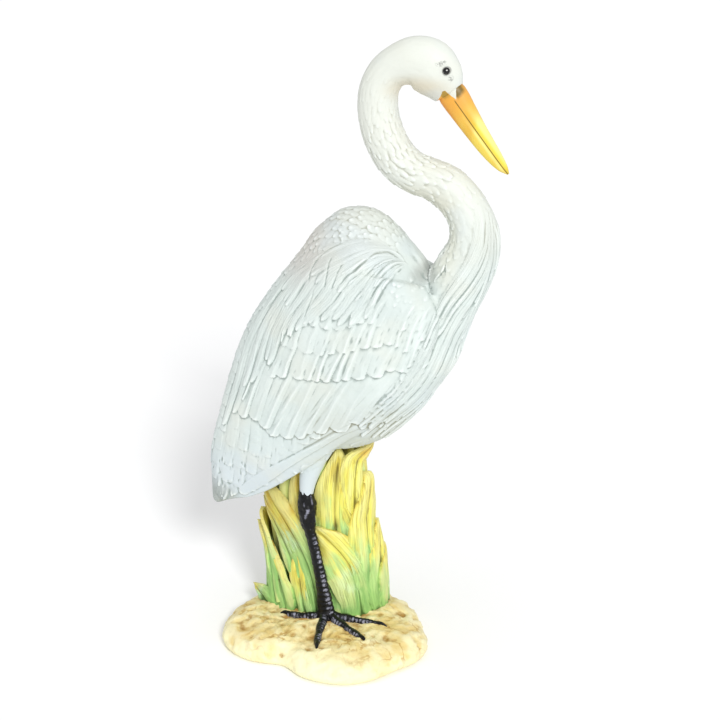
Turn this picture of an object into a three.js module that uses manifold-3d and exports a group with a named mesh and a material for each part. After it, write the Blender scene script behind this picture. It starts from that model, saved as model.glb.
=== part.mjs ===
// Ceramic egret standing in reeds on a sandy base, cast and fired as one piece.
// Millimetres, +Z up. +X is the bird's heading, the origin is the centre of the flat underside.
import * as THREE from 'three';
import { mergeVertices } from 'three/addons/utils/BufferGeometryUtils.js';
import Module from 'manifold-3d';

// ---------------------------------------------------------------- driving sizes
const BIRD_Y = 12;               // the bird's plane of symmetry stands behind the leg
const TAIL = { x: -76, z: 92 };  // tail tip, start of the body axis
const BODY_TILT = 38;            // degrees that the body axis rises towards the shoulders
const ROW_PROUD = 1.7;           // feather tips over the row below
const EYE = { x: 78.6, z: 387.4, r: 2.6, half: 10.6 };
const BILL = { x: 81.6, z: 371.5, dx: 0.594, dz: -0.804, length: 57.6 };
const BASE = { r: 63.5, height: 15.5, rim: 5 };
const LEG_Y = 2;

// body sections along the axis: station, back line, keel line, half width, height of the widest point
const BODY = [
  [-3, 2, -3, 2.5, 0],
  [4, 11.5, -5, 5, 3],
  [20, 31, -6, 10, 10],
  [42, 48.2, -7, 15.5, 16],
  [64, 64.2, -9, 21, 21],
  [87, 79, -13, 26.5, 26],
  [110, 89.2, -24, 31.5, 30],
  [132, 96, -28, 36, 33],
  [156, 102, -25.5, 39, 36],
  [178, 108, -18.5, 40, 40],
  [192, 108.2, -14, 36, 44],
  [203, 104, -8, 29, 46],
  [211, 97, -1, 21, 46],
  [216, 87, 8, 12, 45],
  [218.8, 66, 26, 5, 45],
];

// folded wing along the same axis: station, lower and leading edge, upper edge, half width of its outer face
const WING = [
  [4, -3, 8, 7], [14, -6, 20, 10.5], [26, -10.5, 31, 13.5], [42, -13, 42, 18], [64, -13.8, 55, 23.4], [87, -13.5, 67, 28.8],
  [110, -12.5, 77, 33.8], [134, -13.5, 83, 38.3], [152, -11, 86, 41], [172, -5, 83, 42.2], [190, 3, 72, 40.5],
  [203, 10, 58, 36.5], [211, 18, 48, 31.5], [216, 29, 40, 25],
];

// neck and head: centre line x, z, half depth in the plane of symmetry, half width
const NECK = [
  [60, 203, 21.5, 25],
  [70, 222, 21, 24],
  [80, 243, 19, 21.5],
  [89.4, 262, 18.4, 18.5],
  [95.2, 277, 16.4, 16],
  [95.2, 290, 14.9, 14.6],
  [89.5, 303, 13.6, 13.4],
  [79, 314.2, 13.4, 12.6],
  [67.5, 319.6, 12.6, 12],
  [57, 323, 12.6, 12],
  [47.4, 329.8, 13, 12],
  [39.9, 341.2, 12.9, 11.8],
  [35.4, 354, 12.7, 11.6],
  [34.2, 366, 12.4, 11.3],
  [36, 376, 12, 11.2],
  [41.4, 384, 12.3, 11.4],
  [48.4, 387.8, 14, 12],
  [57, 389.2, 16.4, 12.6],
  [65.4, 387.2, 17.5, 12.6],
  [73, 381.2, 15.5, 10.6],
  [79, 372.6, 10.4, 6.8],
];

// bill: distance from its root, upper half depth, lower half depth, half width
const BILL_SECTIONS = [
  [-7, 6.5, 7, 5.2], [0, 8.4, 9.2, 5.9], [13, 7.2, 9, 5.2], [25, 5.6, 8.2, 4.4],
  [36, 4.3, 7, 3.5], [46, 3.2, 5.2, 2.6], [53, 1.9, 3, 1.6], [57.6, 0.4, 0.4, 0.4],
];

// leg: x, z, half depth, half width; white thigh first, then the black shank
const THIGH = [[1, 152, 14, 12], [-4.5, 137, 10.5, 9.5], [-7.8, 124, 7.4, 7], [-9.8, 114, 5.6, 5.4], [-11, 104, 4.2, 4.2]];
const SHANK = [
  [-11, 108, 4.4, 4.2], [-11, 104, 5.2, 4.8], [-10.6, 97, 6.1, 5.4], [-10.3, 90, 5.4, 5], [-9.6, 84, 5, 4.6],
  [-8.2, 77, 3.5, 3.5], [-4.6, 61, 3.4, 3.3], [-1.6, 45, 3.9, 3.7], [0.3, 34, 4.7, 4.3], [1.8, 22, 5.6, 5],
  [2.2, 12, 6.6, 6],
];
// toes: end of the claw x, y; they start under the shank
const TOES = [[-30.5, 2.5, 3.7], [8, -41, 3.9], [37.5, -24.5, 3.8], [44.5, 2.5, 3.6]];

// reed clump core: height, centre x, centre y, half sizes along x and y
const CORE = [
  [8, -8, 33.5, 40, 26.5], [22, -7, 33.5, 36, 24.5], [50, -5.5, 32.5, 33, 22.5], [90, -10, 29.5, 33, 19.5], [118, -8, 27, 29, 16.5],
  [136, -3, 24, 21, 13.5], [150, 2, 21, 14, 10],
];
// leaves on the clump: angle from the front (towards +X) and height of the spine's points, width, lift
const LEAVES = [
  { spine: [[8, 12], [-10, 50], [-30, 80], [-66, 104]], width: 24, lift: 2.4, tip: 5 },
  { spine: [[6, 14], [0, 55], [-9, 90], [-20, 124]], width: 24, lift: 1.2, tip: 2 },
  { spine: [[-34, 16], [-56, 42], [-80, 62], [-92, 82]], width: 20, lift: 5.5, tip: 9 },
  { spine: [[-28, 12], [-38, 27], [-52, 42], [-78, 57]], width: 13, lift: 4, tip: 7 },
  { spine: [[-8, 12], [-16, 30], [-22, 48], [-26, 63]], width: 13, lift: 2.6, tip: 2 },
  { spine: [[-34, 11], [-54, 15], [-72, 18], [-88, 20]], width: 17, lift: 5, tip: 13 },
  { spine: [[36, 18], [28, 55], [27, 95], [32, 136]], width: 29, lift: 2, tip: 1.5 },
  { spine: [[62, 60], [56, 92], [64, 122], [98, 134]], width: 19, lift: 2.5, tip: 9 },
  { spine: [[66, 20], [62, 54], [67, 84], [86, 116]], width: 22, lift: 4.2, tip: 3.5 },
  { spine: [[82, 14], [77, 36], [81, 56], [93, 80]], width: 19, lift: 5, tip: 4.5 },
  { spine: [[94, 12], [95, 26], [98, 42], [102, 60]], width: 21, lift: 7, tip: 4 },
  { spine: [[50, 12], [44, 38], [27, 62], [4, 80]], width: 29, lift: 4.4, tip: 2 },
  { spine: [[70, 14], [62, 44], [52, 70], [38, 94]], width: 15, lift: 3.4, tip: 2 },
];
// the hidden side has three plainer rings of leaves
const BACK_RINGS = [
  { from: 120, to: 250, count: 4, top: 62, width: 27, lift: 3.4 },
  { from: 130, to: 262, count: 4, top: 96, width: 27, lift: 2.2 },
  { from: 116, to: 250, count: 3, top: 128, width: 27, lift: 1 },
];

// ---------------------------------------------------------------- small mathematics
const rad = (deg) => (deg * Math.PI) / 180;
const mix = (a, b, k) => a + (b - a) * k;

// smooth monotone curve through rows of [station, value]
function through(rows) {
  const n = rows.length;
  const x = rows.map((r) => r[0]);
  const y = rows.map((r) => r[1]);
  const h = [], d = [];
  for (let i = 0; i < n - 1; i++) { h.push(x[i + 1] - x[i]); d.push((y[i + 1] - y[i]) / h[i]); }
  const m = new Array(n).fill(0);
  m[0] = d[0]; m[n - 1] = d[n - 2];
  for (let i = 1; i < n - 1; i++) {
    if (d[i - 1] * d[i] > 0) {
      const w1 = 2 * h[i] + h[i - 1], w2 = h[i] + 2 * h[i - 1];
      m[i] = (w1 + w2) / (w1 / d[i - 1] + w2 / d[i]);
    }
  }
  return (q) => {
    if (q <= x[0]) return y[0];
    if (q >= x[n - 1]) return y[n - 1];
    let i = 0;
    while (q > x[i + 1]) i++;
    const k = (q - x[i]) / h[i], k2 = k * k, k3 = k2 * k;
    return (2 * k3 - 3 * k2 + 1) * y[i] + (k3 - 2 * k2 + k) * h[i] * m[i]
      + (3 * k2 - 2 * k3) * y[i + 1] + (k3 - k2) * h[i] * m[i + 1];
  };
}
const column = (table, k) => through(table.map((row) => [row[0], row[k]]));
// curve through rows that are only numbered, 0, 1, 2 ...
const numbered = (table, k) => through(table.map((row, i) => [i, row[k]]));

// ---------------------------------------------------------------- closed meshes
// rings: list of closed loops with the same number of points
function skin(rings) {
  const pos = [], idx = [], n = rings[0].length;
  for (const ring of rings) for (const p of ring) pos.push(...p);
  for (let i = 0; i < rings.length - 1; i++) {
    for (let j = 0; j < n; j++) {
      const a = i * n + j, b = i * n + ((j + 1) % n), c = a + n, d = b + n;
      idx.push(a, b, d, a, d, c);
    }
  }
  for (const end of [0, rings.length - 1]) {
    const ring = rings[end];
    const mid = [0, 1, 2].map((k) => ring.reduce((s, p) => s + p[k], 0) / n);
    const c = pos.length / 3;
    pos.push(...mid);
    for (let j = 0; j < n; j++) {
      const a = end * n + j, b = end * n + ((j + 1) % n);
      if (end === 0) idx.push(c, b, a); else idx.push(c, a, b);
    }
  }
  return closed(pos, idx);
}

// a sheet with thickness, from an outer and an inner surface over the same grid
function sheet(nu, nv, outer, inner) {
  const rings = [];
  for (let i = 0; i <= nu; i++) {
    const ring = [];
    for (let j = 0; j <= nv; j++) ring.push(outer(i / nu, j / nv));
    for (let j = nv; j >= 0; j--) ring.push(inner(i / nu, j / nv));
    rings.push(ring);
  }
  const pos = [], idx = [], n = rings[0].length;
  for (const ring of rings) for (const p of ring) pos.push(...p);
  for (let i = 0; i < nu; i++) {
    for (let j = 0; j < n; j++) {
      const a = i * n + j, b = i * n + ((j + 1) % n), c = a + n, d = b + n;
      idx.push(a, b, d, a, d, c);
    }
  }
  for (const end of [0, nu]) {
    for (let j = 0; j < nv; j++) {
      const a = end * n + j, b = a + 1, c = end * n + (n - 1 - j), d = c - 1;
      if (end === 0) idx.push(a, d, b, a, c, d); else idx.push(a, b, d, a, d, c);
    }
  }
  return closed(pos, idx);
}

function closed(pos, idx) {
  let g = new THREE.BufferGeometry();
  g.setAttribute('position', new THREE.Float32BufferAttribute(pos, 3));
  g.setIndex(idx);
  g = mergeVertices(g, 1e-4);
  const p = g.attributes.position, t = Array.from(g.index.array), keep = [];
  let volume = 0;
  const a = new THREE.Vector3(), b = new THREE.Vector3(), c = new THREE.Vector3();
  for (let i = 0; i < t.length; i += 3) {
    if (t[i] === t[i + 1] || t[i + 1] === t[i + 2] || t[i] === t[i + 2]) continue;
    a.fromBufferAttribute(p, t[i]); b.fromBufferAttribute(p, t[i + 1]); c.fromBufferAttribute(p, t[i + 2]);
    volume += a.dot(b.clone().cross(c));
    keep.push(t[i], t[i + 1], t[i + 2]);
  }
  if (volume < 0) for (let i = 0; i < keep.length; i += 3) [keep[i + 1], keep[i + 2]] = [keep[i + 2], keep[i + 1]];
  g.setIndex(keep);
  return g;
}

const wasm = await Module();
wasm.setup();
function solid(g) {
  return new wasm.Manifold(new wasm.Mesh({
    numProp: 3, vertProperties: new Float32Array(g.attributes.position.array), triVerts: new Uint32Array(g.index.array),
  }));
}
function united(list) {
  let all = solid(list[0]);
  for (let i = 1; i < list.length; i++) all = all.add(solid(list[i]));
  return all;
}

// Where two surfaces cross at a flat angle, the joined mesh has needle triangles. Edges shorter than
// `shortest` are drawn together, unless that would pinch the surface or turn a face over.
function tidy(mesh, shortest) {
  const pos = [], tri = [];
  for (let i = 0; i < mesh.vertProperties.length; i += 3) pos.push(new THREE.Vector3().fromArray(mesh.vertProperties, i));
  for (let i = 0; i < mesh.triVerts.length; i += 3) tri.push([mesh.triVerts[i], mesh.triVerts[i + 1], mesh.triVerts[i + 2]]);
  const around = pos.map(() => new Set());
  tri.forEach((t, i) => t.forEach((v) => around[v].add(i)));
  const neighbours = (v) => {
    const set = new Set();
    for (const i of around[v]) for (const w of tri[i]) if (w !== v) set.add(w);
    return set;
  };
  const e1 = new THREE.Vector3(), e2 = new THREE.Vector3(), before = new THREE.Vector3(), after = new THREE.Vector3();
  const facing = (t, moved, to, out) => {
    const [a, b, c] = t.map((v) => (v === moved ? to : pos[v]));
    return out.crossVectors(e1.subVectors(b, a), e2.subVectors(c, a));
  };
  const folds = (from, gone, to) => {
    for (const i of around[from]) {
      if (gone.includes(i)) continue;
      facing(tri[i], -1, null, before); facing(tri[i], from, to, after);
      if (after.length() < 1e-4) return true;
      if (before.length() > 0.02 && before.dot(after) < 0.5 * before.length() * after.length()) return true;
    }
    return false;
  };
  const collapse = (keep, drop) => {
    const shared = [...around[keep]].filter((i) => around[drop].has(i));
    if (shared.length !== 2) return false;
    const near = neighbours(keep);
    if ([...neighbours(drop)].filter((w) => near.has(w)).length !== 2) return false;
    if (folds(drop, shared, pos[keep])) return false;
    for (const i of shared) { for (const v of tri[i]) around[v].delete(i); tri[i] = null; }
    for (const i of [...around[drop]]) { tri[i] = tri[i].map((v) => (v === drop ? keep : v)); around[keep].add(i); }
    around[drop].clear();
    return true;
  };
  for (let changed = true, pass = 0; changed && pass < 12; pass++) {
    changed = false;
    for (let i = 0; i < tri.length; i++) {
      if (!tri[i]) continue;
      for (let k = 0; k < 3 && tri[i]; k++) {
        const a = tri[i][k], b = tri[i][(k + 1) % 3];
        if (pos[a].distanceTo(pos[b]) < shortest && (collapse(a, b) || collapse(b, a))) changed = true;
      }
    }
  }
  const used = new Map(), outPos = [], outTri = [];
  for (const t of tri) {
    if (!t) continue;
    for (const v of t) {
      if (!used.has(v)) { used.set(v, used.size); outPos.push(pos[v].x, pos[v].y, pos[v].z); }
      outTri.push(used.get(v));
    }
  }
  return { pos: outPos, tri: outTri };
}

// ---------------------------------------------------------------- body and wings
const c38 = Math.cos(rad(BODY_TILT)), s38 = Math.sin(rad(BODY_TILT));
// axis coordinates (along, above, sideways from the plane of symmetry) to the part's frame
const onBody = (s, t, y) => [TAIL.x + s * c38 - t * s38, BIRD_Y + y, TAIL.z + s * s38 + t * c38];
const ridge = column(BODY, 1), keel = column(BODY, 2), half = column(BODY, 3), wide = column(BODY, 4);

function bodyGeometry(steps, around) {
  const rings = [];
  const s0 = BODY[0][0], s1 = BODY[BODY.length - 1][0];
  for (let i = 0; i <= steps; i++) {
    // stations crowd together at both ends
    const k = i / steps, s = mix(s0, s1, mix(k, 0.5 - 0.5 * Math.cos(Math.PI * k), 0.75));
    const ring = [];
    for (let j = 0; j < around; j++) {
      const a = (2 * Math.PI * (j + 0.5)) / around, ca = Math.cos(a), sa = Math.sin(a);
      const up = sa > 0, p = up ? 2 / 1.95 : 2 / 2.2;
      const t = wide(s) + (up ? ridge(s) - wide(s) : wide(s) - keel(s)) * Math.sign(sa) * Math.abs(sa) ** p;
      ring.push(onBody(s, t, half(s) * Math.sign(ca) * Math.abs(ca) ** p));
    }
    rings.push(ring);
  }
  return skin(rings);
}

const wingLow = column(WING, 1), wingTop = column(WING, 2), wingHalf = column(WING, 3);
// sideways distance of the folded wing's outer face
function wingFace(s, t) {
  const up = t > wide(s);
  const top = ridge(s) + 2, low = wingLow(s) - 12;
  const q = Math.min(0.995, up ? (t - wide(s)) / (top - wide(s)) : (wide(s) - t) / (wide(s) - low));
  const n = up ? 1.95 : 2.8;
  return wingHalf(s) * (1 - q ** n) ** (1 / n);
}

function wingGeometry(side) {
  const s0 = WING[0][0], s1 = WING[WING.length - 1][0];
  const at = (u, v, inset) => {
    const s = mix(s0, s1, u), t = mix(wingLow(s), wingTop(s), v);
    const sink = 2.6 * Math.max(0, (v - 0.55) / 0.45) ** 1.5;
    return onBody(s, t, side * Math.max(1, wingFace(s, t) - sink - inset));
  };
  return sheet(17, 3, (u, v) => at(u, v, 0), (u, v) => at(u, v, Math.min(6, 2 + 10 * u)));
}

// one row of wing feathers: tip line from (s, t) behind to (s, t) at the leading edge
const ROWS = [
  { a: [72, 44], b: [131, 0], bow: 7, depth: 26, count: 7 },
  { a: [92, 63], b: [172, 7], bow: 4, depth: 24, count: 8 },
  { a: [124, 63], b: [188, 17], bow: 3, depth: 20, count: 7 },
  { a: [148, 66], b: [196, 32], bow: 2, depth: 18, count: 5 },
];
function rowGeometry(row, side, lift) {
  const [a, b] = [row.a, row.b];
  const dx = b[0] - a[0], dt = b[1] - a[1], len = Math.hypot(dx, dt);
  const back = [dt / len, -dx / len]; // towards the tips
  const at = (u, v, out) => {
    const scallop = 3.2 * (Math.abs(Math.sin(Math.PI * u * row.count)) ** 0.8) + row.bow * Math.sin(Math.PI * u);
    const reach = mix(scallop, -row.depth, v);
    const s = a[0] + dx * u + back[0] * reach, t = a[1] + dt * u + back[1] * reach;
    return onBody(s, t, side * (wingFace(s, t) + out));
  };
  // the row stands proud at its tips, and its root and both ends run into the wing
  const proud = (u) => mix(-0.8, lift, Math.min(1, 6 * u, 6 * (1 - u)));
  return sheet(row.count * 2, 1,
    (u, v) => at(u, v, mix(proud(u), -2.6, v)),
    (u, v) => at(u, v, -4.5));
}

// ---------------------------------------------------------------- neck, head and bill
function sweep(table, steps, around, y, squash = 1) {
  const fx = numbered(table, 0), fz = numbered(table, 1), fa = numbered(table, 2), fb = numbered(table, 3);
  const last = table.length - 1, rings = [];
  const curve = new THREE.CatmullRomCurve3(table.map((r) => new THREE.Vector3(r[0], 0, r[1])), false, 'centripetal');
  for (let i = 0; i <= steps; i++) {
    const k = i / steps, q = k * last;
    const p = curve.getPoint(k), d = curve.getTangent(k);
    const ring = [];
    for (let j = 0; j < around; j++) {
      const a = (2 * Math.PI * j) / around;
      const across = fa(q) * Math.cos(a), aside = fb(q) * Math.sin(a) * squash;
      ring.push([p.x - d.z * across, y + aside, p.z + d.x * across]);
    }
    rings.push(ring);
  }
  return skin(rings);
}

function billGeometry() {
  const up = column(BILL_SECTIONS, 1), down = column(BILL_SECTIONS, 2), w = column(BILL_SECTIONS, 3);
  const rings = [], s0 = BILL_SECTIONS[0][0];
  for (let i = 0; i <= 9; i++) {
    const s = mix(s0, BILL.length, i / 9), ring = [];
    for (let j = 0; j < 10; j++) {
      const a = (2 * Math.PI * j) / 10, h = (Math.cos(a) > 0 ? up(s) : down(s)) * Math.cos(a);
      ring.push([BILL.x + BILL.dx * s - BILL.dz * h, BIRD_Y + w(s) * Math.sin(a), BILL.z + BILL.dz * s + BILL.dx * h]);
    }
    rings.push(ring);
  }
  return skin(rings);
}

function eyeGeometry(side) {
  const g = new THREE.SphereGeometry(EYE.r, 8, 5);
  g.deleteAttribute('normal'); g.deleteAttribute('uv');
  g.translate(EYE.x, BIRD_Y + side * (EYE.half - 1), EYE.z);
  const m = mergeVertices(g, 1e-4);
  return closed(Array.from(m.attributes.position.array), Array.from(m.index.array));
}

// ---------------------------------------------------------------- foot
const mound = (x, y) => BASE.height - 0.0016 * (x * x + y * y) + 0.6 * Math.sin(x / 9 + 1) * Math.cos(y / 8);
function toeGeometry([tx, ty, r]) {
  const rings = [], n = 7, len = Math.hypot(tx - 2, ty - LEG_Y);
  const d = [(tx - 2) / len, (ty - LEG_Y) / len];
  for (let i = 0; i <= n; i++) {
    const k = i / n, x = mix(2, tx, k), y = mix(LEG_Y, ty, k);
    const claw = Math.max(0, (k - 0.78) / 0.22);
    const knuckle = 1 + 0.12 * Math.cos(2 * Math.PI * k * 3);
    const rr = mix(r * knuckle, 0.7, claw ** 1.3) * mix(1.15, 0.9, k);
    const z = mound(x, y) + 1.6 - 1.2 * claw + 3.5 * Math.max(0, 1 - k * 4);
    const ring = [];
    for (let j = 0; j < 6; j++) {
      const a = (2 * Math.PI * j) / 6;
      ring.push([x - d[1] * rr * Math.cos(a), y + d[0] * rr * Math.cos(a), z + rr * Math.sin(a)]);
    }
    rings.push(ring);
  }
  return skin(rings);
}

// ---------------------------------------------------------------- reed clump
const coreX = column(CORE, 1), coreY = column(CORE, 2), coreRx = column(CORE, 3), coreRy = column(CORE, 4);
const onCore = (angle, z, out) => [
  coreX(z) + (coreRx(z) + out) * Math.sin(rad(angle)), coreY(z) - (coreRy(z) + out) * Math.cos(rad(angle)), z,
];
function coreGeometry() {
  const rings = [];
  for (let i = 0; i <= 8; i++) {
    const z = mix(8, 150, i / 8), ring = [];
    for (let j = 0; j < 16; j++) ring.push(onCore((360 * j) / 16, z, 0));
    rings.push(ring);
  }
  return skin(rings);
}
function leafGeometry({ spine, width, lift, tip }, steps = 5, ribs = 4) {
  const fa = numbered(spine, 0), fz = numbered(spine, 1), last = spine.length - 1;
  const place = (k, v) => {
    const q = k * last, e = 0.02;
    const z = fz(q), a = fa(q);
    const r = Math.hypot(coreRx(z) * Math.cos(rad(a)), coreRy(z) * Math.sin(rad(a)));
    const da = (fa(Math.min(last, q + e)) - fa(q - e)) * (Math.PI / 180) * r;
    const dz = fz(Math.min(last, q + e)) - fz(q - e);
    const len = Math.hypot(da, dz) || 1;
    const w = 0.5 * width * leafWidth(k) * (2 * v - 1);
    return { a: a + ((dz / len) * w * 180) / Math.PI / r, z: z - (da / len) * w };
  };
  const rise = (k, v) => lift * Math.sin(Math.PI * Math.min(1, 0.25 + 0.6 * k)) + tip * k ** 3
    + 1.5 * (1 - (2 * v - 1) ** 2) - 1.1 * Math.exp(-(((2 * v - 1) / 0.22) ** 2));
  return sheet(steps, ribs, (k, v) => { const p = place(k, v); return onCore(p.a, p.z, rise(k, v)); },
    (k, v) => { const p = place(k, v); return onCore(p.a, p.z, mix(-5, rise(k, v) - 3.2, k ** 2)); });
}
const leafWidth = (k) => 0.12 + 0.88 * Math.sin(Math.PI * Math.min(1, 0.22 + 0.78 * k ** 1.15)) ** 0.75;

// ---------------------------------------------------------------- base
function baseRadius(deg) {
  const bump = (at, size, spread) => {
    let d = Math.abs(deg - at) % 360; if (d > 180) d = 360 - d;
    return size * Math.exp(-((d / spread) ** 2));
  };
  return BASE.r + bump(250, -15, 21) + bump(306, 3.2, 18) + bump(278, -1.5, 12) + bump(200, 5, 22) + bump(20, -0.5, 16) + bump(58, 2.5, 20)
    + bump(112, -3, 18) + bump(86, 3, 20) + bump(150, 4, 18) + bump(174, 3, 14) + bump(352, 7, 18);
}
function baseGeometry() {
  const levels = [[-3.5, 0], [-0.8, 1.6], [0, 5], [-1.8, 9.5], [-6, 12.6], [-14, 14.2], [-30, 15], [-48, 15.5]];
  const around = 36, rings = [];
  levels.forEach(([inset, z], i) => {
    const ring = [];
    for (let j = 0; j < around; j++) {
      const deg = (360 * j) / around, r = Math.max(8, baseRadius(deg) + inset);
      const lumps = i > 1 ? 0.7 * Math.sin(j * 1.9 + i * 2.3) : 0;
      const x = 2 + (r + lumps) * Math.cos(rad(deg)), y = 2 + (r + lumps) * Math.sin(rad(deg));
      ring.push([x, y, i > 4 ? mound(x, y) - 0.4 : z + (i > 2 ? 0.5 * Math.sin(j * 2.7 + i) : 0)]);
    }
    rings.push(ring);
  });
  return skin(rings);
}

// ---------------------------------------------------------------- assembly
const bird = [bodyGeometry(24, 18), sweep(NECK, 29, 12, BIRD_Y), billGeometry()];
for (const side of [-1, 1]) {
  bird.push(wingGeometry(side), eyeGeometry(side));
  ROWS.forEach((row) => bird.push(rowGeometry(row, side, ROW_PROUD)));
}
const legs = [sweep(THIGH, 5, 10, LEG_Y), sweep(SHANK, 12, 8, LEG_Y), sweep(THIGH, 5, 10, 2 * BIRD_Y - LEG_Y)];
TOES.forEach((toe) => legs.push(toeGeometry(toe)));
const reeds = [coreGeometry(), ...LEAVES.map((leaf) => leafGeometry(leaf))];
BACK_RINGS.forEach((ring, i) => {
  for (let k = 0; k < ring.count; k++) {
    const a = mix(ring.from, ring.to, k / (ring.count - 1)), sway = 8 * Math.sin(k * 2.1 + i);
    const top = ring.top + 6 * Math.sin(k * 1.7 + 2 * i);
    reeds.push(leafGeometry({
      spine: [[a, 12], [a + sway * 0.4, 12 + (top - 12) * 0.4], [a + sway, 12 + (top - 12) * 0.72], [a + sway * 1.6, top]],
      width: ring.width, lift: ring.lift, tip: 3,
    }, 5, 2));
  }
});

const whole = united([baseGeometry(), ...reeds, ...legs, ...bird]);
const out = tidy(whole.getMesh(), 0.5);
const geometry = new THREE.BufferGeometry();
geometry.setAttribute('position', new THREE.Float32BufferAttribute(out.pos, 3));
geometry.setIndex(out.tri);
geometry.computeVertexNormals();

const bisque = new THREE.MeshStandardMaterial({ name: 'white_bisque', color: 0xe9eeec, roughness: 0.55, metalness: 0 });
const egret = new THREE.Mesh(geometry, bisque);
egret.name = 'egret_sculpture';

const group = new THREE.Group();
group.add(egret);
export default group;
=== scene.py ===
"""Looks of the ceramic egret: one cast piece of bird, leg, reeds and sandy base, with carved feathers.

All geometry is worked out in millimetres in the part's frame (+Z up, +X the bird's heading,
origin at the centre of the flat underside) and goes to metres at the very end.
"""

import math
import time

import bmesh
import bpy
import numpy as np
from mathutils import Matrix, Vector
from mathutils.bvhtree import BVHTree
from mathutils.kdtree import KDTree


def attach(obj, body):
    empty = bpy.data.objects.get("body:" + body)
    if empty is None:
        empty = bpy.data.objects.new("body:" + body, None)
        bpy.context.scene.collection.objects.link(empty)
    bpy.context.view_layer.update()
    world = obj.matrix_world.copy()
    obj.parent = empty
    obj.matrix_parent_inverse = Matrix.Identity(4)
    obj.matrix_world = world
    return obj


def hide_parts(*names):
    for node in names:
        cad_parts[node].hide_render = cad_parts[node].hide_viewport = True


T0 = time.time()
BIRD_FACES = 130500


def note(text):
    print(f"[{time.time() - T0:6.1f}s] {text}")


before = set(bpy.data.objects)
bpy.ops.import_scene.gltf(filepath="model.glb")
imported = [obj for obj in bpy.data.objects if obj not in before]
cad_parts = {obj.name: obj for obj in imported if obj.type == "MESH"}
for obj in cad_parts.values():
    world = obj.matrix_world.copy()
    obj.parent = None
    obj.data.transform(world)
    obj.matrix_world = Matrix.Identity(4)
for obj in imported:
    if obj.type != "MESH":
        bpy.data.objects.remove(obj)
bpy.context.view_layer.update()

# ------------------------------------------------------------------ driving sizes (those of the solid part, with small corrections to the head, bill and some leaves)
BIRD_Y = 12.0
TAIL = (-76.0, 92.0)
BODY_TILT = 38.0
LEG_Y = 2.0
BODY = [
    [-3, 2, -3, 2.5, 0], [4, 11.5, -5, 5, 3], [20, 31, -6, 10, 10], [42, 48.2, -7, 15.5, 16],
    [64, 64.2, -9, 21, 21], [87, 79, -13, 26.5, 26], [110, 89.2, -24, 31.5, 30], [132, 96, -28, 36, 33],
    [156, 102, -25.5, 39, 36], [178, 108, -18.5, 40, 40], [192, 108.2, -14, 36, 44], [203, 104, -8, 29, 46],
    [211, 97, -1, 21, 46], [216, 87, 8, 12, 45], [218.8, 66, 26, 5, 45],
]
WING = [
    [4, -3, 8, 7], [14, -6, 20, 10.5], [26, -10.5, 31, 13.5], [42, -13, 42, 18], [64, -13.8, 55, 23.4],
    [87, -13.5, 67, 28.8], [110, -12.5, 77, 33.8], [134, -13.5, 83, 38.3], [152, -11, 86, 41],
    [172, -5, 83, 42.2], [190, 3, 72, 40.5], [203, 10, 58, 36.5], [211, 18, 48, 31.5], [216, 29, 40, 25],
]
NECK = [
    [60, 203, 21.5, 25], [70, 222, 21, 24], [80, 243, 19, 21.5], [89.4, 262, 18.4, 18.5], [95.2, 277, 16.4, 16],
    [95.2, 290, 14.9, 14.6], [89.5, 303, 13.6, 13.4], [79, 314.2, 13.4, 12.6], [67.5, 319.6, 12.6, 12],
    [57, 323, 12.6, 12], [47.4, 329.8, 13, 12], [39.9, 341.2, 12.9, 11.8], [35.4, 354, 12.7, 11.6],
    [34.2, 366, 12.4, 11.3], [36, 376, 12, 11.2], [41.4, 384.4, 12, 11.4], [48.4, 388.7, 13.1, 12],
    [57, 390.6, 15.4, 12.6], [65.4, 388.1, 17.1, 12.6], [72.6, 381.2, 15.2, 10.6], [78.6, 372.6, 10.0, 6.7],
]
BILL = dict(x=81.6, z=371.5, dx=0.594, dz=-0.804, length=57.6)
BILL_SECTIONS = [
    [-7, 6.5, 8.2, 5.4], [0, 8.2, 9.6, 5.9], [13, 6.8, 9, 5.2], [25, 5.3, 8.3, 4.4],
    [36, 4.3, 7.4, 3.5], [46, 3.4, 5.8, 2.7], [53, 2.3, 3.7, 1.8], [57.8, 0.5, 0.6, 0.5],
]
EYE = dict(x=78.6, z=387.4, r=2.6, half=10.6)
THIGH = [[1, 152, 14, 12], [-4.5, 137, 10.5, 9.5], [-7.8, 124, 7.4, 7], [-9.8, 114, 5.6, 5.4], [-11, 104, 4.2, 4.2]]
SHANK = [
    [-11, 108, 4.4, 4.2], [-11, 104, 5.2, 4.8], [-10.6, 97, 6.1, 5.4], [-10.3, 90, 5.4, 5], [-9.6, 84, 5, 4.6],
    [-8.2, 77, 3.5, 3.5], [-4.6, 61, 3.4, 3.3], [-1.6, 45, 3.9, 3.7], [0.3, 34, 4.7, 4.3], [1.8, 22, 5.6, 5],
    [2.2, 12, 6.6, 6],
]
TOES = [[-30.5, 2.5, 3.7], [8, -41, 3.9], [37.5, -24.5, 3.8], [44.5, 2.5, 3.6]]
CORE = [
    [8, -8, 33.5, 40, 26.5], [22, -7, 33.5, 36, 24.5], [50, -5.5, 32.5, 33, 22.5], [90, -10, 29.5, 33, 19.5],
    [118, -8, 27, 29, 16.5], [136, -3, 24, 21, 13.5], [150, 2, 21, 14, 10],
]
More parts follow.
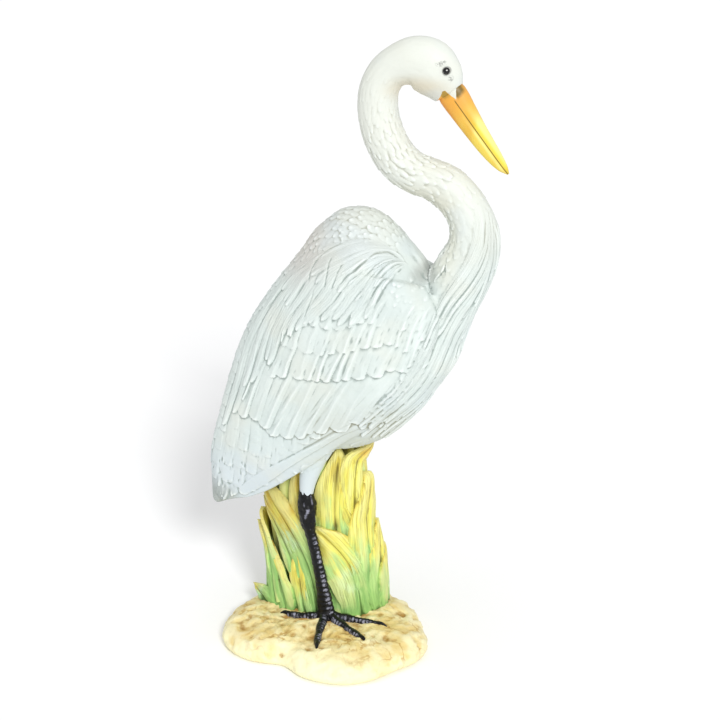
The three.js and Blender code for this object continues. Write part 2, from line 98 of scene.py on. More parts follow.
# spine of angle from the front (towards +X) and height, width, lift over the clump, lift of the tip,
# share of the length that is green, ochre at the tip
LEAVES = [
    ([[8, 12], [-10, 50], [-30, 80], [-66, 104]], 24, 2.4, 5, 0.62, 0.9),
    ([[6, 14], [0, 55], [-9, 90], [-20, 124]], 24, 1.2, 2, 0.50, 0.6),
    ([[-44, 18], [-64, 42], [-82, 62], [-93, 79]], 14, 6.5, 7, 0.66, 0.3),
    ([[-60, 22], [-74, 40], [-85, 54], [-94, 68]], 12, 7.5, 12, 0.62, 0.35),
    ([[-54, 14], [-68, 27], [-80, 39], [-90, 49]], 12, 4.6, 4.5, 0.60, 0.3),
    ([[-24, 40], [-36, 62], [-50, 80], [-74, 92]], 13, 3.6, 4, 0.55, 0.7),
    ([[-28, 12], [-38, 27], [-52, 42], [-78, 57]], 13, 4, 7, 0.45, 0.8),
    ([[-8, 12], [-16, 30], [-22, 48], [-26, 63]], 13, 2.6, 2, 0.30, 0.5),
    ([[-34, 11], [-54, 15], [-72, 18], [-88, 20]], 17, 5, 13, 0.80, 0.1),
    ([[36, 18], [28, 55], [27, 95], [32, 136]], 29, 2, 1.5, 0.52, 0.35),
    ([[62, 60], [52, 98], [58, 127], [101, 137.5]], 16, 2.5, 10, 0.10, 0.9),
    ([[66, 20], [62, 54], [67, 84], [86, 116]], 22, 4.2, 3.5, 0.45, 0.3),
    ([[82, 14], [77, 36], [81, 56], [93, 80]], 19, 5, 4.5, 0.55, 0.2),
    ([[94, 12], [95, 26], [98, 42], [102, 60]], 21, 7, 4, 0.62, 0.2),
    ([[50, 12], [44, 38], [27, 62], [4, 80]], 29, 4.4, 2, 0.55, 0.15),
    ([[70, 14], [62, 44], [52, 70], [38, 94]], 15, 3.4, 2, 0.80, 0.1),
]
# leaves round the back: angles, number, height of the tips, width, lift
BACK_RINGS = [(116, 256, 6, 52, 17, 4.6), (124, 262, 6, 84, 18, 3.2), (114, 254, 6, 112, 19, 2.0), (122, 246, 5, 136, 20, 0.8)]
BASE_R, BASE_H = 63.5, 15.5

# ------------------------------------------------------------------ viewing angle of the photograph
AZ, EL, DIST, LENS_PX = math.radians(15), math.radians(19), 1100.0, 1716.1276
TARGET = np.array([23.0177, 12.0, 198.2482])
BACK = np.array([math.sin(AZ) * math.cos(EL), -math.cos(AZ) * math.cos(EL), math.sin(EL)])
RIGHT = np.array([math.cos(AZ), math.sin(AZ), 0.0])
UP = np.cross(RIGHT, -BACK)
EYEPOINT = TARGET + BACK * DIST

# ------------------------------------------------------------------ small mathematics
rng = np.random.default_rng(20)


def mix(a, b, k):
    return a + (b - a) * k


def smooth(a, b, x):
    k = np.clip((np.asarray(x, float) - a) / (b - a), 0, 1)
    return k * k * (3 - 2 * k)


def through(xs, ys):
    """Smooth monotone curve through (station, value) rows."""
    x, y = np.asarray(xs, float), np.asarray(ys, float)
    h = np.diff(x)
    d = np.diff(y) / h
    m = np.zeros(len(x))
    m[0], m[-1] = d[0], d[-1]
    for i in range(1, len(x) - 1):
        if d[i - 1] * d[i] > 0:
            w1, w2 = 2 * h[i] + h[i - 1], h[i] + 2 * h[i - 1]
            m[i] = (w1 + w2) / (w1 / d[i - 1] + w2 / d[i])

    def at(q):
        q = np.clip(np.asarray(q, float), x[0], x[-1])
        i = np.clip(np.searchsorted(x, q, side="left") - 1, 0, len(x) - 2)
        k = (q - x[i]) / h[i]
        k2, k3 = k * k, k * k * k
        return (2 * k3 - 3 * k2 + 1) * y[i] + (k3 - 2 * k2 + k) * h[i] * m[i] + (3 * k2 - 2 * k3) * y[i + 1] + (k3 - k2) * h[i] * m[i + 1]

    return at


def column(table, k):
    return through([r[0] for r in table], [r[k] for r in table])


def numbered(table, k):
    return through(range(len(table)), [r[k] for r in table])


def hashed(ix, iy, iz, seed):
    n = (ix * 374761393 + iy * 668265263 + iz * 2147483647 + seed * 1274126177) & 0xFFFFFFFF
    n = ((n ^ (n >> 13)) * 1274126177) & 0xFFFFFFFF
    return ((n ^ (n >> 16)) & 0xFFFFFF) / float(0xFFFFFF) * 2 - 1


def noise(p, scale, seed=0):
    """Smooth value noise from -1 to 1 at points p (n, 3), with lumps about `scale` mm across."""
    q = np.asarray(p, float) / scale
    i = np.floor(q).astype(np.int64)
    f = q - i
    f = f * f * (3 - 2 * f)
    out = 0.0
    for dx in (0, 1):
        for dy in (0, 1):
            for dz in (0, 1):
                w = (f[..., 0] if dx else 1 - f[..., 0]) * (f[..., 1] if dy else 1 - f[..., 1]) * (f[..., 2] if dz else 1 - f[..., 2])
                out = out + w * hashed(i[..., 0] + dx, i[..., 1] + dy, i[..., 2] + dz, seed)
    return out


def unit(v):
    return v / np.maximum(np.linalg.norm(v, axis=-1, keepdims=True), 1e-12)


# ------------------------------------------------------------------ closed meshes as (points, faces)
def skin(rings):
    """Loft over closed loops (m, n, 3), with a fan over each end."""
    r = np.asarray(rings, float)
    m, n = r.shape[:2]
    pts = r.reshape(-1, 3)
    i, j = np.meshgrid(np.arange(m - 1), np.arange(n), indexing="ij")
    a, b = i * n + j, i * n + (j + 1) % n
    quads = np.stack([a, b, b + n, a + n], -1).reshape(-1, 4)
    c0, c1 = len(pts), len(pts) + 1
    pts = np.vstack([pts, r[0].mean(0), r[-1].mean(0)])
    j = np.arange(n)
    tri0 = np.stack([np.full(n, c0), (j + 1) % n, j], -1)
    tri1 = np.stack([np.full(n, c1), (m - 1) * n + j, (m - 1) * n + (j + 1) % n], -1)
    return outward(pts, [quads, np.vstack([tri0, tri1])])


def outward(pts, groups):
    """Turns all faces so that the enclosed volume is positive."""
    vol = 0.0
    for f in groups:
        for k in range(1, f.shape[1] - 1):
            vol += np.einsum("ij,ij->", pts[f[:, 0]], np.cross(pts[f[:, k]], pts[f[:, k + 1]]))
    if vol < 0:
        groups = [f[:, ::-1] for f in groups]
    return pts, groups


def sheet(outer, inner):
    """A sheet with thickness between two grids of points (nu + 1, nv + 1, 3)."""
    ring = np.concatenate([outer, inner[:, ::-1]], axis=1)
    m, n = ring.shape[:2]
    nv = outer.shape[1] - 1
    i, j = np.meshgrid(np.arange(m - 1), np.arange(n), indexing="ij")
    a, b = i * n + j, i * n + (j + 1) % n
    quads = [np.stack([a, b, b + n, a + n], -1).reshape(-1, 4)]
    j = np.arange(nv)
    for end in (0, m - 1):
        q = np.stack([end * n + j, end * n + j + 1, end * n + n - 2 - j, end * n + n - 1 - j], -1)
        quads.append(q[:, ::-1] if end == 0 else q)
    return outward(ring.reshape(-1, 3), [np.vstack(quads)])


def to_mesh(name, pts, groups):
    """Blender mesh in millimetres from points and a list of face arrays."""
    counts = np.concatenate([np.full(len(f), f.shape[1]) for f in groups])
    loops = np.concatenate([f.ravel() for f in groups])
    mesh = bpy.data.meshes.new(name)
    mesh.vertices.add(len(pts))
    mesh.vertices.foreach_set("co", np.asarray(pts, np.float32).ravel())
    mesh.loops.add(len(loops))
    mesh.loops.foreach_set("vertex_index", loops.astype(np.int32))
    mesh.polygons.add(len(counts))
    starts = np.concatenate([[0], np.cumsum(counts)[:-1]])
    mesh.polygons.foreach_set("loop_start", starts.astype(np.int32))
    mesh.update(calc_edges=True)
    mesh.validate()
    return mesh


def to_object(name, mesh):
    obj = bpy.data.objects.new(name, mesh)
    bpy.context.scene.collection.objects.link(obj)
    return obj


def applied(obj):
    """The object's mesh with its modifiers applied; the object then holds it."""
    bpy.context.view_layer.objects.active = obj
    for o in bpy.context.selected_objects:
        o.select_set(False)
    obj.select_set(True)
    for m in list(obj.modifiers):
        bpy.ops.object.modifier_apply(modifier=m.name)
    return obj.data


def points_of(mesh):
    co = np.empty(len(mesh.vertices) * 3, np.float32)
    mesh.vertices.foreach_get("co", co)
    return co.reshape(-1, 3).astype(float)


def faces_of(mesh):
    """Faces as triangles (n, 3)."""
    mesh.calc_loop_triangles()
    t = np.empty(len(mesh.loop_triangles) * 3, np.int32)
    mesh.loop_triangles.foreach_get("vertices", t)
    return t.reshape(-1, 3)


def bad_edges(mesh):
    """Edges that don't carry exactly two faces."""
    e = np.empty(len(mesh.loops), np.int32)
    mesh.loops.foreach_get("edge_index", e)
    return int((np.bincount(e, minlength=len(mesh.edges)) != 2).sum())


def union(objs, solver="MANIFOLD"):
    base = objs[0]
    for o in objs:
        if bad_edges(o.data):
            note(f"{o.name}: {bad_edges(o.data)} open or shared edges")
    for o in objs[1:]:
        m = base.modifiers.new("join", "BOOLEAN")
        m.operation, m.solver, m.object = "UNION", solver, o
        applied(base)
        bpy.data.objects.remove(o)
    return base


def decimated(obj, target):
    n = len(faces_of(obj.data))
    if n > target:
        m = obj.modifiers.new("thin", "DECIMATE")
        m.decimate_type, m.ratio, m.use_collapse_triangulate = "COLLAPSE", target / n, True
        applied(obj)
    return obj


def edges_of(tri):
    e = np.vstack([tri[:, [0, 1]], tri[:, [1, 2]], tri[:, [2, 0]]])
    e.sort(axis=1)
    return np.unique(e, axis=0)


def relax(values, edges, n, times, keep=0.5):
    """Values averaged with their neighbours along the edges."""
    v = np.asarray(values, float)
    flat = v.ndim == 1
    v = v.reshape(len(v), -1).copy()
    deg = np.bincount(edges.ravel(), minlength=n).astype(float)
    for _ in range(times):
        for k in range(v.shape[1]):
            s = np.bincount(edges[:, 0], v[edges[:, 1], k], n) + np.bincount(edges[:, 1], v[edges[:, 0], k], n)
            v[:, k] = keep * v[:, k] + (1 - keep) * s / np.maximum(deg, 1)
    return v[:, 0] if flat else v


def normals_of(p, tri):
    fn = np.cross(p[tri[:, 1]] - p[tri[:, 0]], p[tri[:, 2]] - p[tri[:, 0]])
    n = np.zeros_like(p)
    for c in range(3):
        for k in range(3):
            n[:, k] += np.bincount(tri[:, c], fn[:, k], len(p))
    return unit(n)


# ------------------------------------------------------------------ body, wings, neck
C38, S38 = math.cos(math.radians(BODY_TILT)), math.sin(math.radians(BODY_TILT))
ridge, keel, half, wide = (column(BODY, k) for k in (1, 2, 3, 4))
wing_low, wing_top, wing_half = (column(WING, k) for k in (1, 2, 3))


def on_body(s, t, y):
    s, t, y = np.broadcast_arrays(np.asarray(s, float), np.asarray(t, float), np.asarray(y, float))
    return np.stack([TAIL[0] + s * C38 - t * S38, BIRD_Y + y, TAIL[1] + s * S38 + t * C38], -1)


def body_coords(p):
    dx, dz = p[..., 0] - TAIL[0], p[..., 2] - TAIL[1]
    return dx * C38 + dz * S38, -dx * S38 + dz * C38


def body_mesh(steps=110, around=96):
    k = np.linspace(0, 1, steps + 1)
    s = mix(BODY[0][0], BODY[-1][0], mix(k, 0.5 - 0.5 * np.cos(math.pi * k), 0.75))[:, None]
    a = (2 * math.pi * (np.arange(around) + 0.5) / around)[None]
    ca, sa = np.cos(a), np.sin(a)
    p = np.where(sa > 0, 2 / 1.95, 2 / 2.2)
    t = wide(s) + np.where(sa > 0, ridge(s) - wide(s), wide(s) - keel(s)) * np.sign(sa) * np.abs(sa) ** p
    return skin(on_body(s, t, half(s) * np.sign(ca) * np.abs(ca) ** p))


def wing_face(s, t):
    up = t > wide(s)
    top, low = ridge(s) + 2, wing_low(s) - 12
    q = np.minimum(0.995, np.where(up, (t - wide(s)) / (top - wide(s)), (wide(s) - t) / (wide(s) - low)))
    n = np.where(up, 1.95, 2.8)
    return wing_half(s) * (1 - np.maximum(q, 0) ** n) ** (1 / n)


def wing_mesh(side, nu=90, nv=44):
    u, v = np.linspace(0, 1, nu + 1)[:, None], np.linspace(0, 1, nv + 1)[None]
    s = mix(WING[0][0], WING[-1][0], u)
    t = mix(wing_low(s), wing_top(s), v)
    sink = 2.6 * np.maximum(0, (v - 0.55) / 0.45) ** 1.5

    def at(inset):
        return on_body(s, t, side * np.maximum(1, wing_face(s, t) - sink - inset))

    return sheet(at(0), at(np.minimum(6, 2 + 10 * u)))


def spline(table, k):
    """Points and directions at k (0..1) of the centripetal curve through the x, z rows."""
    p = np.array([[r[0], r[1]] for r in table], float)
    last = len(p) - 1

    def at(k):
        q = np.clip(np.asarray(k, float), 0, 1) * last
        i = np.minimum(np.floor(q).astype(int), last - 1)
        w = (q - i)[..., None]
        ext = np.vstack([2 * p[0] - p[1], p, 2 * p[-1] - p[-2]])
        p0, p1, p2, p3 = ext[i], ext[i + 1], ext[i + 2], ext[i + 3]
        d0, d1, d2 = (np.sqrt(np.linalg.norm(b - a, axis=-1, keepdims=True)) for a, b in ((p0, p1), (p1, p2), (p2, p3)))
        t1 = ((p1 - p0) / d0 - (p2 - p0) / (d0 + d1) + (p2 - p1) / d1) * d1
        t2 = ((p2 - p1) / d1 - (p3 - p1) / (d1 + d2) + (p3 - p2) / d2) * d1
        return p1 + t1 * w + (-3 * p1 + 3 * p2 - 2 * t1 - t2) * w ** 2 + (2 * p1 - 2 * p2 + t1 + t2) * w ** 3

    e = 1e-4
    k = np.asarray(k, float)
    return at(k), unit(at(np.minimum(1, k + e)) - at(np.maximum(0, k - e)))


class Tube:
    """A swept form: centre line in an x, z plane at depth y, half depth and half width along it."""

    def __init__(self, table, y):
        self.table, self.y, self.last = table, y, len(table) - 1
        self.fa, self.fb = numbered(table, 2), numbered(table, 3)
        k = np.linspace(0, 1, 800)
        p, _ = spline(table, k)
        self.k_of = (np.concatenate([[0], np.cumsum(np.linalg.norm(np.diff(p, axis=0), axis=1))]), k)
        self.length = self.k_of[0][-1]

    def at(self, k, a, out=0.0):
        """Surface point at share k of the centre line and angle a (0 = back, pi = front)."""
        k, a, out = np.broadcast_arrays(np.asarray(k, float), np.asarray(a, float), np.asarray(out, float))
        p, d = spline(self.table, k)
        across, aside = (self.fa(k * self.last) + out) * np.cos(a), (self.fb(k * self.last) + out) * np.sin(a)
        return np.stack([p[..., 0] - d[..., 1] * across, self.y + aside, p[..., 1] + d[..., 0] * across], -1)

    def at_length(self, s):
        return np.interp(s, self.k_of[0], self.k_of[1])

    def mesh(self, steps, around, out=None):
        k, a = np.linspace(0, 1, steps + 1)[:, None], (2 * math.pi * np.arange(around) / around)[None]
        return skin(self.at(k, a, 0 if out is None else out(k, a)))


neck = Tube(NECK, BIRD_Y)

note("building the bird's volumes")
volumes = [body_mesh(), wing_mesh(-1), wing_mesh(1), neck.mesh(260, 72), Tube(THIGH, LEG_Y).mesh(40, 40), Tube(THIGH, 2 * BIRD_Y - LEG_Y).mesh(40, 40)]
parts, faces, off = [], [], 0
for pts, groups in volumes:
    parts.append(pts)
    for g in groups:
        faces.append(g + off)
    off += len(pts)
bird = to_object("bird", to_mesh("bird", np.vstack(parts), [f for f in faces]))
m = bird.modifiers.new("even", "REMESH")
m.mode, m.voxel_size, m.adaptivity = "VOXEL", 0.62, 0.0
applied(bird)
P = points_of(bird.data)
TRI = faces_of(bird.data)
NV = len(P)
EDGES = edges_of(TRI)
P = relax(P, EDGES, NV, 6)
N = normals_of(P, TRI)
note(f"bird skin: {NV} points")
skin_tree = BVHTree.FromPolygons([tuple(v) for v in P], [tuple(int(x) for x in t) for t in TRI])
note("surface tree")


def snap(p):
    """Nearest points of the smooth bird and their normals."""
    out, nor = np.empty_like(p), np.empty_like(p)
    for i, q in enumerate(p):
        loc, n, idx, _ = skin_tree.find_nearest(q)
        out[i], nor[i] = loc, n
    return out, nor


def sight(uv):
    """Points of the smooth bird that lie at places (u, v) of the photograph's frame."""
    out = []
    for u, v in uv:
        d = -BACK * LENS_PX + RIGHT * (u - 360) - UP * (v - 360)
        d = d / np.linalg.norm(d)
        loc, n, idx, dist = skin_tree.ray_cast(Vector(EYEPOINT), Vector(d))
        if loc is None:
            q = EYEPOINT + d * ((BIRD_Y - 2 - EYEPOINT[1]) / d[1])
            loc, n, idx, _ = skin_tree.find_nearest(q)
        out.append(loc)
    return np.array(out)


def resample(p, m):
    p = np.asarray(p, float)
    s = np.concatenate([[0], np.cumsum(np.linalg.norm(np.diff(p, axis=0), axis=1))])
    q = np.linspace(0, s[-1], m)
    return np.stack([through(s, p[:, k])(q) if len(p) > 2 else np.interp(q, s, p[:, k]) for k in range(p.shape[1])], -1)


# ------------------------------------------------------------------ carving
class Relief:
    """Heights over the smooth bird, built feather by feather. Feathers overlap: the higher one wins."""

    CELL = 2.5

    def __init__(self, p, n):
        self.p, self.n = p, n
        self.h = np.zeros(len(p))
        self.lo = p.min(0) - 4 * self.CELL
        self.dim = (np.ceil((p.max(0) + 4 * self.CELL - self.lo) / self.CELL)).astype(int)
        code = self.code(np.floor((p - self.lo) / self.CELL).astype(int))
        self.order = np.argsort(code, kind="stable")
        self.codes, self.start, self.count = np.unique(code[self.order], return_index=True, return_counts=True)

    def code(self, c):
        return (c[..., 0] * self.dim[1] + c[..., 1]) * self.dim[2] + c[..., 2]

    def near(self, pts, radius):
        r = int(math.ceil(radius / self.CELL))
        c = np.unique(np.floor((pts - self.lo) / self.CELL).astype(int), axis=0)
        d = np.arange(-r, r + 1)
        g = np.stack(np.meshgrid(d, d, d, indexing="ij"), -1).reshape(-1, 3)
        want = np.unique(self.code((c[:, None] + g[None]).reshape(-1, 3)))
        at = np.searchsorted(self.codes, want)
        at = at[(at < len(self.codes))]
        at = at[np.isin(self.codes[at], want)]
        if not len(at):
            return np.empty(0, int)
        st, ct = self.start[at], self.count[at]
        idx = np.repeat(st - np.concatenate([[0], np.cumsum(ct)[:-1]]), ct) + np.arange(ct.sum())
        return self.order[idx]

    def local(self, path, nor, reach):
        """For the points near a path: index, distance along it, sideways distance, share of the way."""
        idx = self.near(path, reach)
        if not len(idx):
            return None
        a, b = path[:-1], path[1:]
        d = b - a
        seg = np.linalg.norm(d, axis=1)
        cum = np.concatenate([[0], np.cumsum(seg)])
        w = self.p[idx][:, None] - a[None]
        t = np.clip((w * d).sum(-1) / np.maximum(seg ** 2, 1e-9), 0, 1)
        q = w - t[..., None] * d
        j = (q * q).sum(-1).argmin(1)
        row = np.arange(len(idx))
        across = unit(np.cross(nor[:-1], d))[j]
        side = (q[row, j] * across).sum(1)
        away = np.linalg.norm(q[row, j], axis=1)
        s = cum[j] + t[row, j] * seg[j]
        facing = (self.n[idx] * nor[j]).sum(1) > 0.15
        ok = facing & (away < reach * 1.5)
        # beyond the end of the path the distance counts as sideways
        side = np.where((s <= 0) | (s >= cum[-1] - 1e-9), np.copysign(away, side), side)
        return idx[ok], s[ok], side[ok], cum

    def feather(self, path, nor, halfw, height, tip=1.2, crown=0.5, tilt=0.0, grow=0.8, soft=0.4, rim=0.0, rim_at=0.5):
        got = self.local(path, nor, float(np.max(halfw)) + soft)
        if got is None:
            return
        idx, s, side, cum = got
        total = cum[-1]
        hw = np.interp(s, cum, halfw)
        e = min(tip * float(halfw[-1]), 0.9 * total)
        x = np.clip((s - (total - e)) / max(e, 1e-6), 0, 1)
        hw = hw * np.sqrt(np.clip(1 - x ** 2.2, 0, 1))
        q = np.clip(side / np.maximum(hw, 1e-6), -1, 1)
        edge = np.clip((hw - np.abs(side)) / soft, 0, 1)
        f = s / total
        z = height * f ** grow * (1 - crown * np.abs(q) ** 2.2 + tilt * (q - 1))
        if rim:
            z = z + rim * np.exp(-(((q - rim_at) / 0.27) ** 2)) * smooth(0.02, 0.3, f)
        z = z * edge
        self.h[idx] = np.maximum(self.h[idx], z)

    def groove(self, path, nor, halfw, depth, fade=0.15):
        got = self.local(path, nor, float(np.max(halfw)) * 2.2)
        if got is None:
            return
        idx, s, side, cum = got
        hw = np.interp(s, cum, halfw)
        f = s / cum[-1]
        k = np.clip(np.minimum(f, 1 - f) / fade, 0, 1) if fade else 1.0
        self.h[idx] -= depth * k * np.exp(-((side / hw) ** 2))


relief = Relief(P, N)


def mirrored(p):
    q = p.copy()
    q[:, 1] = 2 * BIRD_Y - q[:, 1]
    return q


def near_part(p):
    """The longest stretch of a path that stays on the near side of the middle plane."""
    ok = p[:, 1] <= BIRD_Y + 1.0
    if ok.all():
        return p
    best, start = (0, 0), None
    for i, good in enumerate(np.append(ok, False)):
        if good and start is None:
            start = i
        if not good and start is not None:
            if i - start > best[1] - best[0]:
                best = (start, i)
            start = None
    return p[best[0]:best[1]]


def both(points, halfw, height, plainer=1.0, step=1.4, **kw):
    """One feather on the near side and its twin on the far side."""
    length = np.linalg.norm(np.diff(points, axis=0), axis=1).sum()
    m = max(3, int(math.ceil(length / step)) + 1)
    p = near_part(resample(points, m))
    if len(p) < 3:
        return
    w = np.interp(np.linspace(0, 1, len(p)), np.linspace(0, 1, len(np.atleast_1d(halfw))), np.atleast_1d(halfw))
    a, na = snap(p)
    relief.feather(a, na, w, height, **kw)
    if plainer:
        b, nb = snap(mirrored(p))
        kw = dict(kw)
        kw["tilt"], kw["rim_at"] = -kw.get("tilt", 0.0), -kw.get("rim_at", 0.5)
        relief.feather(b, nb, w, height * plainer, **kw)


def both_groove(points, halfw, depth, far=True, step=1.4, fade=0.15):
    length = np.linalg.norm(np.diff(points, axis=0), axis=1).sum()
    m = max(3, int(math.ceil(length / step)) + 1)
    p = near_part(resample(points, m))
    if len(p) < 3:
        return
    w = np.full(len(p), float(halfw))
    a, na = snap(p)
    relief.groove(a, na, w, depth, fade)
    if far:
        b, nb = snap(mirrored(p))
        relief.groove(b, nb, w, depth, fade)


class Flow:
    """A field of feather lines between guide lines. Guides are places in the photograph's frame."""

    def __init__(self, guides, m=40):
        g = np.array([resample(x, m) for x in guides])
        self.flat = g
        self.n, self.m = g.shape[:2]
        self.p = np.array([sight(x) for x in g])

    def at(self, u, v, table=None):
        """Point at share u across the guides and v along them."""
        table = self.p if table is None else table
        u, v = np.broadcast_arrays(np.asarray(u, float), np.asarray(v, float))
        x, y = np.clip(u, 0, 1) * (self.n - 1), np.clip(v, 0, 1) * (self.m - 1)
        i, j = np.minimum(x.astype(int), self.n - 2), np.minimum(y.astype(int), self.m - 2)
        fu, fv = (x - i)[..., None], (y - j)[..., None]

        def row(ii):
            ii = np.clip(ii, 0, self.n - 1)
            return table[ii, j] * (1 - fv) + table[ii, j + 1] * fv

        a, b, c, d = row(i - 1), row(i), row(i + 1), row(i + 2)
        return 0.5 * (2 * b + (c - a) * fu + (2 * a - 5 * b + 4 * c - d) * fu ** 2 + (3 * b - 3 * c + d - a) * fu ** 3)

    def line(self, u, v0, v1, m=24):
        return self.at(u, np.linspace(v0, v1, m))

    def width(self, u, v0, v1, share, m=24):
        v = np.linspace(v0, v1, m)
        return 0.5 * np.linalg.norm(self.at(u + share / 2, v) - self.at(u - share / 2, v), axis=-1)


note("carving: wing rows")
# mantle: long plumes from the shoulder over the back and the upper wing, outer line first
MANTLE = Flow([
    [(384, 242), (366, 238), (350, 239), (336, 243), (322, 248), (308, 257), (295, 268), (284, 279), (273, 292), (263, 307), (254, 322), (247, 337), (241, 353), (236, 370), (231, 388), (226, 405), (221, 424), (217, 442)],
    [(392, 248), (376, 242), (358, 242.5), (344, 247), (330, 255), (316, 262.5), (304, 270), (295, 279), (288, 289), (280, 300), (272, 312), (266, 324), (261, 337), (257, 351), (253, 365), (248, 380), (242, 396), (236, 410)],
    [(398, 253), (384, 247), (368, 246), (352, 250), (338, 258), (325, 265), (312, 272), (304, 281), (298, 292), (291, 303), (284, 314), (278, 325), (274, 336), (271, 348), (268, 360), (264, 371)],
    [(402, 257), (390, 251.5), (376, 251), (362, 255.5), (348, 262), (336, 269), (326, 277), (318, 287), (312, 297), (305, 306), (297, 315), (291, 325), (287, 336), (284, 346)],
    [(404, 260), (393, 255.5), (380, 255.5), (368, 260), (356, 267), (346, 275), (338, 284), (331, 293), (324, 302), (316, 310), (309, 317), (304, 324)],
    [(405, 262), (396, 259.5), (386, 261), (376, 266), (366, 274), (358, 283), (350, 292), (343, 302), (336, 311), (329, 319), (324, 326)],
    [(406, 263), (399, 262.5), (391, 265), (384, 271), (378, 279), (372, 288), (366, 298), (360, 307), (354, 316), (348, 325)],
    [(408, 265), (403, 266), (397, 271), (391, 278), (386, 286), (381, 295), (377, 304), (373, 314), (370, 323)],
])
# covert rows: line of the feather tips, back to front; length of the feathers, slant at both ends
ROWS = [
    ([(241, 416), (257, 420), (263, 428), (275, 437), (284, 436.5), (294, 437.5), (303, 433), (315, 432), (327, 434.5), (338, 428), (348, 422)], 74, 14, (-0.36, 0.93), (-0.62, 0.78), 1.5),
    ([(247, 373), (261, 375.5), (273, 376), (287, 378), (301, 379), (313, 381.5), (331, 381.5), (346, 379), (360, 377.5), (376, 375), (385, 370), (393, 371), (400, 372), (406, 368)], 46, 11.5, (-0.36, 0.93), (-0.5, 0.86), 1.22),
    ([(282, 345), (295, 349.5), (312, 354), (328, 353.5), (348, 350.5), (359, 347.5), (377, 347.5), (384, 344.5), (397, 348), (406, 352), (412, 349)], 40, 11, (-0.42, 0.9), (-0.42, 0.9), 1.12),
    ([(301, 325), (317, 327), (333, 329.5), (348, 327), (360, 322), (382, 326.5), (397, 330.5), (410, 332), (417, 330)], 34, 11, (-0.45, 0.89), (-0.5, 0.86), 0.95),
]
cuts_later = []
for r, (line, length, pitch, d0, d1, height) in enumerate(ROWS):
    total = np.linalg.norm(np.diff(np.array(line), axis=0), axis=1).sum()
    count = int(round(total / pitch))
    share = np.cumsum(np.concatenate([[0], rng.uniform(0.62, 1.38, count)]))
    share = share / share[-1]
    many = resample(line, 200)
    for i in range(count + 1):
        k = share[i]
        tip = many[int(round(k * 199))]
        gap = total * 0.5 * (share[min(count, i + 1)] - share[max(0, i - 1)]) * (2 if i in (0, count) else 1)
        d = np.array(d0) * (1 - k) + np.array(d1) * k
        turn = rng.uniform(-0.07, 0.07)
        d = np.array([d[0] * math.cos(turn) - d[1] * math.sin(turn), d[0] * math.sin(turn) + d[1] * math.cos(turn)])
        d = d / np.linalg.norm(d)
        side = np.array([-d[1], d[0]])
        tip = tip + d * rng.uniform(-0.6, 1.0)
        back = length * rng.uniform(0.92, 1.06)
        v = np.linspace(1, 0, 7)[:, None]
        path = tip - d * back * v + rng.uniform(1.2, 3.2) * np.sin(math.pi * v) * side
        w = gap * 0.64 * 0.60
        both(sight(path), [w * 0.8, w * 1.1, w * 1.16, w * 1.1], height * rng.uniform(0.86, 1.14), tip=[0.75, 0.5, 0.5, 0.6][r], crown=0.1, tilt=rng.uniform(0.2, 0.36), grow=1.0, soft=0.3,
             rim=rng.uniform(*[(0.5, 0.95), (0.45, 0.9), (0.3, 0.75), (0.3, 0.7)][r]), rim_at=rng.uniform(0.3, 0.7), plainer=0.85)
        seen = [56, 26, 22, 26][r] / back
        for _ in range(5 if r == 0 else 3):
            f1 = 1 - rng.uniform(0.02, 0.5) * seen
            f0 = max(1 - seen, f1 - rng.uniform(0.35, 0.75) * seen)
            f = np.linspace(f0, f1, 5)[:, None]
            q = tip - d * back * (1 - f) + side * (rng.uniform(-0.75, 0.75) * w / 0.64 + rng.uniform(-1.2, 1.2) * (f - f0) / (f1 - f0))
            cuts_later.append((q, rng.uniform(0.38, 0.75), rng.uniform(0.15, 0.42) * (0.75 if r == 0 else 1.0)))
for q, halfw, depth in cuts_later:
    both_groove(sight(q), halfw, depth, far=False, fade=0.4)

# primaries and secondaries behind the last row: short square tips
for line, length, pitch, height in [
    ([(214, 478), (226, 481), (238, 486), (250, 489), (262, 485)], 34, 12, 0.75),
    ([(214, 463), (228, 464), (241, 468), (255, 472), (269, 471), (283, 464), (297, 456)], 32, 12.5, 0.8),
    ([(217, 447), (231, 446), (244, 449), (257, 455), (270, 456), (284, 453), (299, 447), (314, 441)], 30, 12.5, 0.8),
    ([(222, 430), (233, 428), (244, 432), (254, 440)], 30, 11, 0.75),
]:
    total = np.linalg.norm(np.diff(np.array(line), axis=0), axis=1).sum()
    count = int(round(total / pitch))
    tips = resample(line, count + 1)
    for i in range(count + 1):
        d = np.array([-0.16 + 0.1 * i / count, 0.98])
        tip = tips[i] + np.array([0, rng.uniform(-2.5, 2.5)])
        path = tip - d * length * np.linspace(1, 0, 5)[:, None]
        w = pitch * 0.64 * 0.53
        both(sight(path), [w * rng.uniform(0.85, 1.15)], height * rng.uniform(0.7, 1.15), tip=0.35, crown=0.15, tilt=rng.uniform(0, 0.2), grow=1.2, soft=0.5, rim=rng.uniform(0, 0.3), rim_at=rng.uniform(-0.5, 0.6), plainer=0.85)
